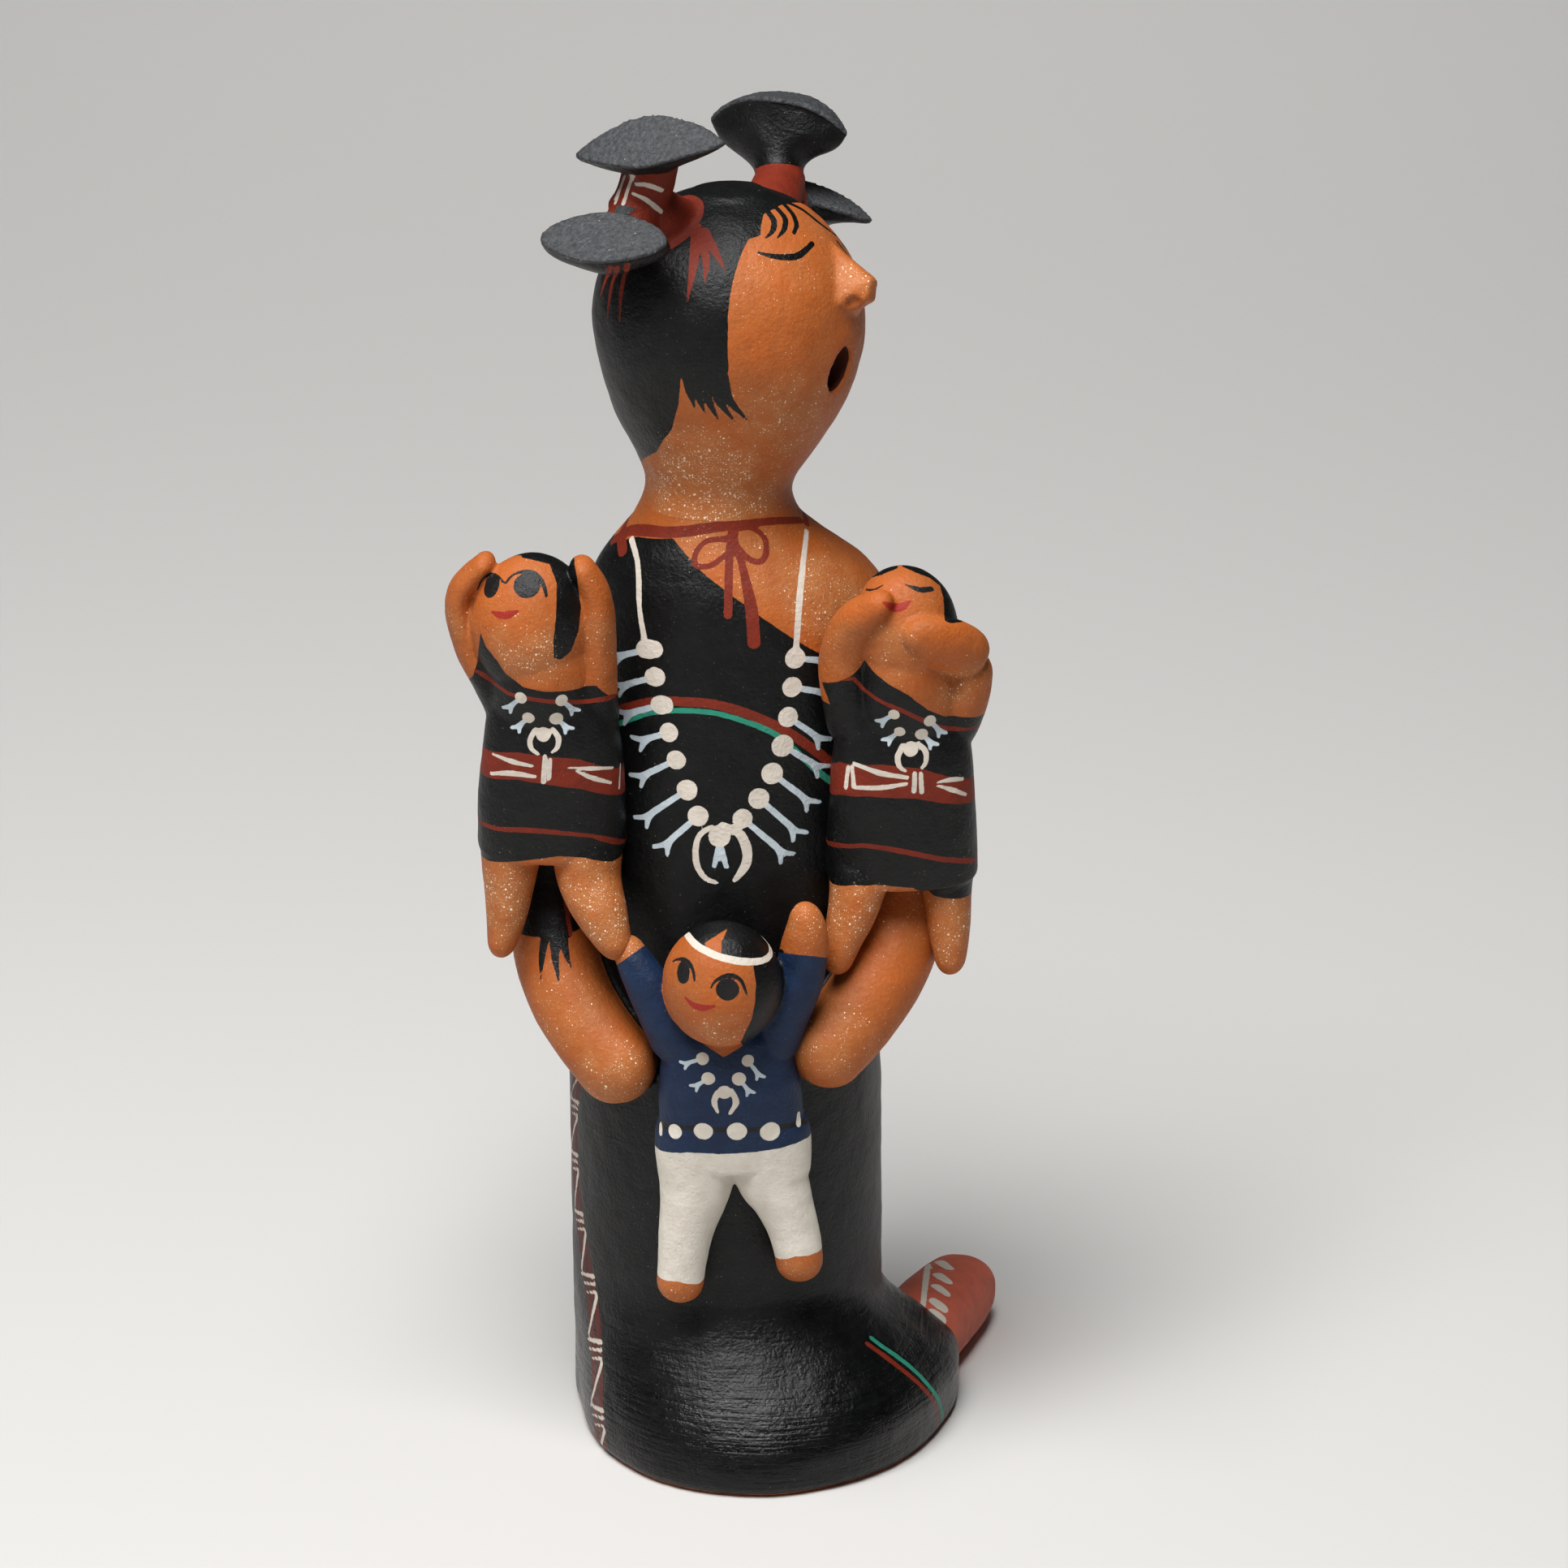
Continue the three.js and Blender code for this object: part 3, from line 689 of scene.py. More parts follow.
def paintOf(piece, paint):
    surface = surfaceOf(piece)
    return surface["paints"].setdefault(paint, np.full(len(surface["points"]), farAway))


# The place on a piece that shows at a pixel, or the nearest one to it
def touch(piece, pixel):
    way = (cameraTurn @ Vector((pixel[0] - middlePx, middlePx - pixel[1], -photo["focalPx"]))).normalized()
    hit, place, _, _ = piece.ray_cast(cameraPlace * mm, way)
    if not hit:
        middle = (Vector(piece.bound_box[0]) + Vector(piece.bound_box[6])) / 2
        reach = (middle - cameraPlace * mm).dot(way)
        place = piece.closest_point_on_mesh(cameraPlace * mm + way * reach)[1]
    return np.array(place) / mm


# How far points are from a straight line, and the share of its length that each is nearest to
def fromLine(points, start, end):
    along = end - start
    share = np.clip(((points - start) @ along) / max(along @ along, 1e-9), 0, 1)
    return np.linalg.norm(points - start - share[:, None] * along, axis=1), share


# Lays paint along a row of places, with a width at each
def lay(piece, paint, places, widths):
    points, depth = clayOf(piece), paintOf(piece, paint)
    places, halves = np.array(places, float), np.array(widths, float) / 2
    margin = halves.max() + 2
    low, high = places.min(0) - margin, places.max(0) + margin
    near = np.nonzero(np.all((points > low) & (points < high), axis=1))[0]
    close = depth[near]
    for start, end, startHalf, endHalf in zip(places, places[1:], halves, halves[1:]):
        away, share = fromLine(points[near], start, end)
        close = np.minimum(close, away - startHalf - share * (endHalf - startHalf))
    depth[near] = close


def spread(widths, count):
    widths = np.atleast_1d(np.array(widths, float))
    return np.interp(np.linspace(0, 1, count), np.linspace(0, 1, len(widths)), widths)


def smoothLine(line, step):
    line = np.array(line, float)
    lengths = np.r_[0, np.cumsum(np.linalg.norm(np.diff(line, axis=0), axis=1))]
    count = max(2, int(lengths[-1] / step) + 1)
    return smoothRows(np.c_[lengths, line], np.linspace(0, lengths[-1], count))[:, 1:]


# Strokes seen in the photograph: each has its line in pixels and its widths in mm
def brush(piece, paint, *strokes):
    for linePx, widths in strokes:
        places = [touch(piece, pixel) for pixel in smoothLine(linePx, 5)]
        lay(piece, paint, places, spread(widths, len(places)))


# A stroke on a side that the photograph doesn't show: its line in mm, pressed onto the clay
def brushAround(piece, paint, line, widths):
    places = [np.array(piece.closest_point_on_mesh(Vector(place) * mm)[1]) / mm
              for place in smoothLine(line, 1.5)]
    lay(piece, paint, places, spread(widths, len(places)))


# A bead or an eye: an oval from its middle and its half sizes in pixels, turned by slant
def dab(piece, paint, centrePx, halfPx, slant=0):
    wide, high = halfPx
    small, reach = min(wide, high), abs(wide - high)
    way = (1, 0) if wide > high else (0, 1)
    turned = (way[0] * math.cos(slant) - way[1] * math.sin(slant),
              way[0] * math.sin(slant) + way[1] * math.cos(slant))
    ends = [[middle + k * reach * step for middle, step in zip(centrePx, turned)] for k in (-1, 0, 1)]
    lay(piece, paint, [touch(piece, end) for end in ends], scaled((1.8, 2, 1.8), small * pixelSize))


# How far points of a plane are outside an outline, less than nothing inside it
def outlineDistance(points, outline):
    outline = np.array(outline, float)
    away = np.full(len(points), np.inf)
    inside = np.zeros(len(points), bool)
    for start, end in zip(outline, np.roll(outline, -1, axis=0)):
        away = np.minimum(away, fromLine(points, start, end)[0])
        crosses = (start[1] > points[:, 1]) != (end[1] > points[:, 1])
        run, rise = end - start
        level = start[0] + (points[:, 1] - start[1]) / (rise or 1e-9) * run
        inside ^= crosses & (points[:, 0] < level)
    return np.where(inside, -away, away)


# Paints where depth is less than nothing, and wipe takes paint off there
def fill(piece, paint, depth):
    kept = paintOf(piece, paint)
    kept[:] = np.minimum(kept, depth)


def wipe(piece, paint, depth):
    kept = paintOf(piece, paint)
    kept[:] = np.maximum(kept, -depth)


# Everything inside an outline of pixels, as far back as keepWithin says
def fillSeen(piece, paint, outlinePx, keepWithin=-farAway):
    fill(piece, paint, np.maximum(seenOutline(piece, outlinePx), keepWithin))


def seenOutline(piece, outlinePx):
    return outlineDistance(surfaceOf(piece)["picture"], outlinePx) * pixelSize


beside, wayDown = 90, 400    # mm, past every piece


# Distance above a line that runs across the front of a piece, level round to its back. The line
# goes from left to right and its ends run on level
def aboveLine(piece, linePx):
    line = np.array([touch(piece, pixel) for pixel in linePx])[:, [0, 2]]
    (left, leftHigh), (right, rightHigh) = line[0] - (beside, 0), line[-1] + (beside, 0)
    below = [(right, rightHigh), (right, -wayDown), (left, -wayDown), (left, leftHigh)]
    return outlineDistance(clayOf(piece)[:, [0, 2]], [*line, *below])


# Between two of those lines, the upper one first
def between(piece, topPx, bottomPx):
    return np.maximum(aboveLine(piece, topPx), -aboveLine(piece, bottomPx))


# How far points are outside a roll of that radius along a path
def nearRoll(piece, path, radius):
    return np.min([farFrom(piece, place) for place in smoothLine(path, 2)], axis=0) - radius


def farFrom(piece, place):
    return np.linalg.norm(clayOf(piece) - np.array(place), axis=1)


# A necklace of beads: each has its middle and half sizes, the angle below level at which its petal
# points outwards, and how far off the petal forks, all in pixels. A petal is petalPx long
def beadsWithPetals(piece, beads, side, petalPx, petalWidth):
    for x, y, wide, high, droop, stem in beads:
        at = lambda start, angle, reach: (start[0] + side * math.cos(math.radians(angle)) * reach,
                                          start[1] + math.sin(math.radians(angle)) * reach)
        fork = at((x, y), droop, stem)
        outer = at(fork, droop - 16, petalPx)
        lower = at(fork, droop + 30, petalPx * 0.85)
        brush(piece, "petal", ([(x, y), fork, at(fork, droop - 2, petalPx * 0.5), outer],
                               scaled((0.9, 1, 1.1, 0.7), petalWidth)),
              ([fork, at(fork, droop + 14, petalPx * 0.45), lower], scaled((0.9, 1.05, 0.7), petalWidth)))
        dab(piece, "white", (x, y), (wide, high))


# Both sides of a necklace, and the pendant within its crescent
def paintNecklace(piece, look):
    brush(piece, "white", *look["crescent"])
    beadsWithPetals(piece, look["leftBeads"], -1, *look["petals"])
    beadsWithPetals(piece, look["rightBeads"], 1, *look["petals"])
    dab(piece, "white", *look["pendant"])


def paintSkirt():
    fill(skirt, "black", skirtPaint["bareEdge"] - clayOf(skirt)[:, 2])
    for paint, stroke in skirtPaint["kneeLines"].items():
        brush(skirt, paint, stroke)
    paintSeam()


# The seam strip down the figure's right side: two red bands, and a white zigzag with three short
# strokes at every other turn. strip holds mm from its front edge, round the skirt, and the height
def paintSeam():
    front = np.array([touch(skirt, pixel) for pixel in seam["frontEdgePx"]])
    bearing = lambda points: np.arctan2(points[:, 0] - seam["axis"], -points[:, 1])
    course = np.polyfit(front[:, 2], bearing(front), 3)
    for piece in (skirt, torso):
        points = clayOf(piece)
        around = np.polyval(course, points[:, 2]) - bearing(points)
        around = (around + math.pi) % (2 * math.pi) - math.pi
        strip = np.c_[around * np.hypot(points[:, 0] - seam["axis"], points[:, 1]), points[:, 2]]
        shown = np.maximum(points[:, 2] - seam["top"], -nearRoll(piece, woman["rightArm"], seam["armReach"]))
        for middle, wide in seam["redBands"]:
            fill(piece, "seamRed", np.maximum(np.abs(strip[:, 0] - middle) - wide / 2, shown))
        for top in np.arange(seam["firstGroup"], seam["top"], seam["repeat"]):
            # Three strokes, each a little shorter, then the long one to the next turn
            level = lambda k: top - k * seam["strokeGap"]
            strokes = [((0.3, level(k)), (seam["wide"] - 0.8 * k, level(k) - seam["fall"]))
                       for k in range(3)]
            strokes.append(((0.4, level(2.6)),
                            (seam["wide"] - 0.6, top - seam["repeat"] - seam["fall"] * 0.5)))
            for (start, end), wide in zip(strokes, seam["strokeWidths"]):
                away, share = fromLine(strip, np.array(start), np.array(end))
                fill(piece, "white", np.maximum(away - wide / 2 * (1 - 0.35 * share), shown))


seam = {
    "frontEdgePx": [(711, 1389), (714, 1443), (720, 1496), (727, 1550), (732, 1586), (737, 1621),
                    (744, 1657), (745, 1693), (745, 1729), (746, 1764), (747, 1782)],
    "wide": 7.4, "top": 104, "repeat": 12.3, "firstGroup": 9.5, "strokeGap": 1.5, "fall": 1.9,
    "strokeWidths": (0.95, 0.72, 0.66, 0.95),
    "redBands": [(1.4, 2.4), (4.6, 2.6)],   # middle and width of each, from the front edge
    "axis": -1, "armReach": 10.8,           # the skirt's middle, and how far the arm hides the strip
}
skirtPaint = {
    "bareEdge": 0.8,     # unpainted clay along the floor
    "kneeLines": {
        "turquoise": ([(1074, 1649), (1088, 1659.5), (1106, 1672), (1126, 1688), (1144, 1707),
                       (1156, 1724), (1161, 1740), (1161, 1750)], [1.3, 1.4, 1.3, 1.2, 0.9]),
        "red": ([(1069, 1656), (1086, 1668), (1107, 1684), (1130, 1703), (1147, 1722), (1154, 1738),
                 (1156, 1752)], [1.3, 1.4, 1.3, 1.2, 0.8]),
    },
}

torsoPaint = {
    "crease": 1.1,       # mm off the woman's own skin where an arm begins
    "necklinePx": [(757, 664), (785, 661), (829, 663), (864, 704), (920, 747), (976, 786), (1020, 810),
                   (1050, 824)],
    "sleeveEndPx": [(640, 1150), (692, 1153), (723, 1139)],
    "tasselBack": 10,    # mm in front of the middle where the tassel ends
    "tasselPx": [(660, 1030), (690, 1030), (698, 1100), (704, 1154), (697, 1157), (670, 1157), (665, 1136),
                 (661, 1089)],
    "tasselEnds": [([(673, 1150), (668, 1175), (666, 1207)], [1.9, 1.5, 0.3]),
                   ([(683, 1152), (684, 1180), (689, 1211)], [1.9, 1.5, 0.3]),
                   ([(694, 1150), (697, 1172), (704, 1193)], [1.9, 1.5, 0.3])],
    "tasselLine": ([(692, 1084), (699, 1124), (703, 1151)], [0.9, 1.0, 0.9]),
    "neckBand": ([(757, 664), (775, 654), (800, 654), (821, 656), (850, 654), (870, 651), (906, 647),
                  (954, 642), (987, 641)], [2.9, 2.4, 2.2, 1.6, 1.5]),
    # Round the back, where the line is in mm
    "neckBandBehind": ([(15.5, -3, 194), (14, 9, 196), (5, 14.5, 198), (-6, 15, 198), (-15, 9, 196),
                        (-21, -1, 192), (-21.5, -8, 190)], [1.6, 1.8, 2.6]),
    "bow": [
        ([(897, 664), (870, 667), (857, 682), (857, 696), (875, 697), (901, 678)], [1.3, 1.0, 1.2, 1.2, 1.0]),
        ([(906, 652), (925, 650), (942, 663), (944, 681), (938, 692), (925, 690), (907, 672)],
         [1.2, 1.1, 1.3, 1.2, 1.1]),
        ([(903, 652), (903, 678)], [2.0, 2.4]),
        ([(899, 672), (898, 715), (897, 758)], [1.5, 1.7, 1.7]),
        ([(908, 672), (918, 712), (926, 752), (929, 792)], [1.2, 1.8, 2.6, 2.6]),
    ],
    "strings": [([(778, 664), (785, 690), (787, 714), (788, 750), (794, 788)], [1.4, 1.2, 1.3, 1.1, 1.3]),
                ([(994, 654), (990, 690), (985, 740), (981, 798)], [1.1, 1.3, 1.4, 1.2])],
    "chestBand": {
        "red": ([(740, 886), (757, 876), (784, 868), (808, 864), (838, 864.5), (880, 868), (925, 881),
                 (970, 902), (1006, 926), (1032, 947), (1050, 962)], [1.4, 1.9, 2.0, 2.0, 2.1]),
        "turquoise": ([(745, 899), (760, 893), (786, 883), (802, 878), (835, 875.5), (880, 878.5),
                       (916, 888.5), (954, 904), (982, 927), (1012, 954), (1032, 968), (1048, 980)],
                      [1.1, 1.1, 1.1, 1.3, 1.5]),
    },
    "petals": (27, 1.25),    # length in pixels, width in mm
    # x, y, half width, half height, droop of the petal, where it forks
    "leftBeads": [(800, 800, 19, 12, 12, 26), (807, 834, 15, 12, 15, 29), (815.5, 868.5, 16, 12, 14, 31),
                  (824, 902.5, 13, 12, 16, 20), (833, 936.5, 13.5, 12, 25, 33),
                  (846.5, 973.5, 14, 13, 33, 47), (860, 1005.5, 13, 13, 41, 40)],
    "rightBeads": [(980, 811, 14, 13, 5, 24), (976, 846.5, 13, 12.5, 10, 33), (971, 883.5, 13, 12.5, 34, 33),
                   (964.5, 919, 14.5, 14, 30, 36), (951.5, 953, 14, 13.5, 37, 42), (935, 984, 13, 13, 41, 46),
                   (915, 1008.5, 12, 13.5, 40, 51)],
    "pendant": ((886.5, 1030.5), (13.5, 15)),
    "crescent": [([(876, 1019), (862, 1029), (857, 1047), (859.5, 1068), (870, 1083), (883, 1087.5)],
                  [1.0, 1.1, 1.3, 1.2, 0.8]),
                 ([(890, 1017), (910, 1026), (919.5, 1044), (919.5, 1064), (905.5, 1084.5)],
                  [1.4, 1.8, 2.1, 1.9, 1.0])],
    "pendantFork": [([(886, 1044), (880, 1067)], [1.3, 1.0]), ([(888, 1044), (895, 1068)], [1.3, 1.0])],
}


# How far the points are off the woman's own skin, without arms and mouth
def offSkin(points):
    skin = womanSkin()
    off = [(skin.closest_point_on_mesh(Vector(place))[1] - Vector(place)).length / mm
           for place in points * mm]
    bpy.data.objects.remove(skin)
    return np.array(off)


def paintTorso():
    besideArm = woman["armThickness"] / 2 + 1
    notSkin = torsoPaint["crease"] - offSkin(clayOf(torso))
    leftArm = np.maximum(nearRoll(torso, woman["leftArm"], besideArm), notSkin)
    rightArm = np.maximum(nearRoll(torso, woman["rightArm"], besideArm), notSkin)
    fill(torso, "black", aboveLine(torso, torsoPaint["necklinePx"]))
    wipe(torso, "black", leftArm)
    wipe(torso, "black", np.maximum(rightArm, aboveLine(torso, torsoPaint["sleeveEndPx"])))
    fillSeen(torso, "black", torsoPaint["tasselPx"],
             keepWithin=np.maximum(rightArm, clayOf(torso)[:, 1] + torsoPaint["tasselBack"]))
    brush(torso, "black", *torsoPaint["tasselEnds"])
    brush(torso, "red", torsoPaint["tasselLine"])
    for paint, stroke in torsoPaint["chestBand"].items():
        brush(torso, paint, stroke)
    brush(torso, "red", torsoPaint["neckBand"], *torsoPaint["bow"])
    brushAround(torso, "red", *torsoPaint["neckBandBehind"])
    brush(torso, "white", *torsoPaint["strings"])
    paintNecklace(torso, torsoPaint)
    brush(torso, "petal", *torsoPaint["pendantFork"])


headPaint = {
    "hairlinePx": [(967, 251), (955, 257), (941, 264), (937, 290), (922, 295), (908, 328), (900, 363),
                   (897, 405), (898, 455), (893, 478), (870, 478), (850, 474), (839, 465), (836, 500),
                   (828, 529), (809, 557), (790, 570)],
    "locks": [
        ([(944, 258), (953.5, 272), (952, 285), (942, 294)], [1.3, 1.3, 1.1, 0.3]),
        ([(958, 257), (967.5, 270), (966, 283), (958, 293)], [1.3, 1.3, 1.1, 0.4]),
        ([(966, 251), (978, 266), (981.5, 278), (978, 287)], [1.3, 1.3, 1.2, 0.8]),
        ([(846, 462), (850, 482), (856, 503)], [2.2, 1.9, 0.3]),
        ([(855, 468), (861, 490), (869, 509)], [2.2, 1.6, 0.3]),
        ([(866, 472), (874, 496), (885, 517)], [2.2, 1.6, 0.3]),
        ([(880, 470), (887, 495), (905, 519)], [2.6, 1.7, 0.3]),
        ([(890, 466), (898, 492), (922, 519)], [2.6, 1.7, 0.3]),
        ([(952, 243), (985, 256), (1010, 275), (1034, 293)], [1.8, 1.6, 1.3, 0.7]),
    ],
    "nearEye": ([(934, 311), (949, 315), (965, 317), (981, 316), (992, 309), (1001, 300)],
                [0.5, 1.1, 1.4, 1.4, 1.1]),
    "farEyeEnd": ([(1032, 298), (1043, 312)], [1.0, 0.8]),
    # How far the black reaches from the middle of a cut face and from the stalk, how far the grey of the
    # torn clay, partly painted light, reaches over a cut face's rim, and how far behind a cut face the red
    # stops, in mm
    "endBlack": 17, "waistBlack": 9, "cutRim": 0.4, "slab": 3.4, "besideSlab": 0.6,
    # Where the red ties run, and how far round that line the red reaches, mm
    "ties": [
        ([(-16.3, -16, 271), (-17.4, -13.5, 264), (-20.5, -17.5, 258.5)], 7.2),
        ([(-17.4, -13.5, 264), (-13, -9, 259), (-9, -5, 255)], 7.6),
        ([(10, 29, 252.3), (9.2, 22, 253), (7.5, 13, 252.5)], 7.8),
    ],
    "mouthShade": (7, 12, 0.8),    # how wide and deep the painted shade inside the mouth reaches, and how far inside its rim
    "ribbons": [
        ([(752, 329), (746, 345), (739, 367)], [1.0, 1.2, 0.3]),
        ([(761, 329), (753, 355), (748, 393)], [1.0, 1.3, 0.3]),
        ([(773, 326), (766, 355), (763, 397)], [1.2, 1.4, 0.3]),
        ([(858, 280), (855, 320), (847, 371)], [2.2, 1.9, 0.3]),
        ([(864, 295), (870, 322), (868, 348)], [1.7, 1.5, 0.3]),
        ([(868, 285), (880, 308), (893, 332)], [1.9, 1.6, 0.3]),
    ],
    "bunStrokes": [
        ([(758, 250), (769, 219)], [0.9, 1.2]), ([(768, 251), (779, 216)], [0.9, 1.2]),
        ([(757, 246), (762, 235)], [0.5, 0.7]), ([(783, 227), (798, 228), (816, 235)], [0.7, 1.3, 0.9]),
        ([(779, 238), (796, 246), (815, 261)], [0.6, 1.1, 0.9]),
    ],
}


def paintHead():
    points = clayOf(head)
    middle = np.array(woman["headCentre"])
    sideView = lambda place: np.stack([(place - middle) @ np.array(way)
                                       for way in (headForward, headUp)], -1)
    hairline = [tuple(sideView(touch(head, pixel))) for pixel in headPaint["hairlinePx"]]
    # The hair's outline in that side view goes on from its two ends, well past the head
    away = lambda place: (place[0] * 5, place[1] * 5)
    outline = [*hairline, away(hairline[-1]), (-150, 150), away(hairline[0])]
    fill(head, "black", outlineDistance(sideView(points), outline))
    brush(head, "black", *headPaint["locks"], headPaint["nearEye"], headPaint["farEyeEnd"])

    # The photograph shows only the inner end of the far eye, so the rest mirrors the near one
    line, widths = headPaint["nearEye"]
    nearEye, across = np.array([touch(head, pixel) for pixel in line]), np.array(headRight)
    farEye = nearEye - 2 * ((nearEye - middle) @ across)[:, None] * across
    brushAround(head, "black", farEye, widths)

    for end in bunEnds:
        fill(head, "black", farFrom(head, end["tip"]) - headPaint["endBlack"])
    for bun in (hairBuns["near"], hairBuns["far"]):
        fill(head, "black", nearRoll(head, [bun["root"], bun["waist"]], headPaint["waistBlack"]))
    for path, radius in headPaint["ties"]:
        fill(head, "red", nearRoll(head, path, radius))
    for end in bunEnds:
        behind, besideEnd = behindAndBeside(end, points)
        wipe(head, "red", np.maximum.reduce([
            -1 - behind, behind - headPaint["slab"], besideEnd - headPaint["besideSlab"]]))
    # The cut faces are painted grey: worn black paint over broken clay, and partly painted light where the
    # rough faces catch the light from above
    fill(head, "tornFace", awayFromCutFaces(points) - headPaint["cutRim"])

    # Painted shade: the inside of the mouth hollow and the nostrils are painted dark brown, for the shade
    # that falls in them
    rim = np.array(onHead(*woman["mouthPlace"]))
    wide, deep, inside = headPaint["mouthShade"]
    inMouth = nearRoll(head, [rim, rim + unit(middle - rim) * deep], wide)
    close = np.nonzero(inMouth < 1)[0]
    inMouth[close] = np.maximum(inMouth[close], inside - offSkin(points[close]))
    fill(head, "recessShade", inMouth)
    for side in (-1, 1):
        nostril = onHead(side * nose["nostril"][0], *nose["nostril"][1:])
        fill(head, "recessShade", farFrom(head, nostril) - nose["nostrilSize"] * 0.9)
    brush(head, "red", *headPaint["ribbons"])
    brush(head, "white", *headPaint["bunStrokes"])


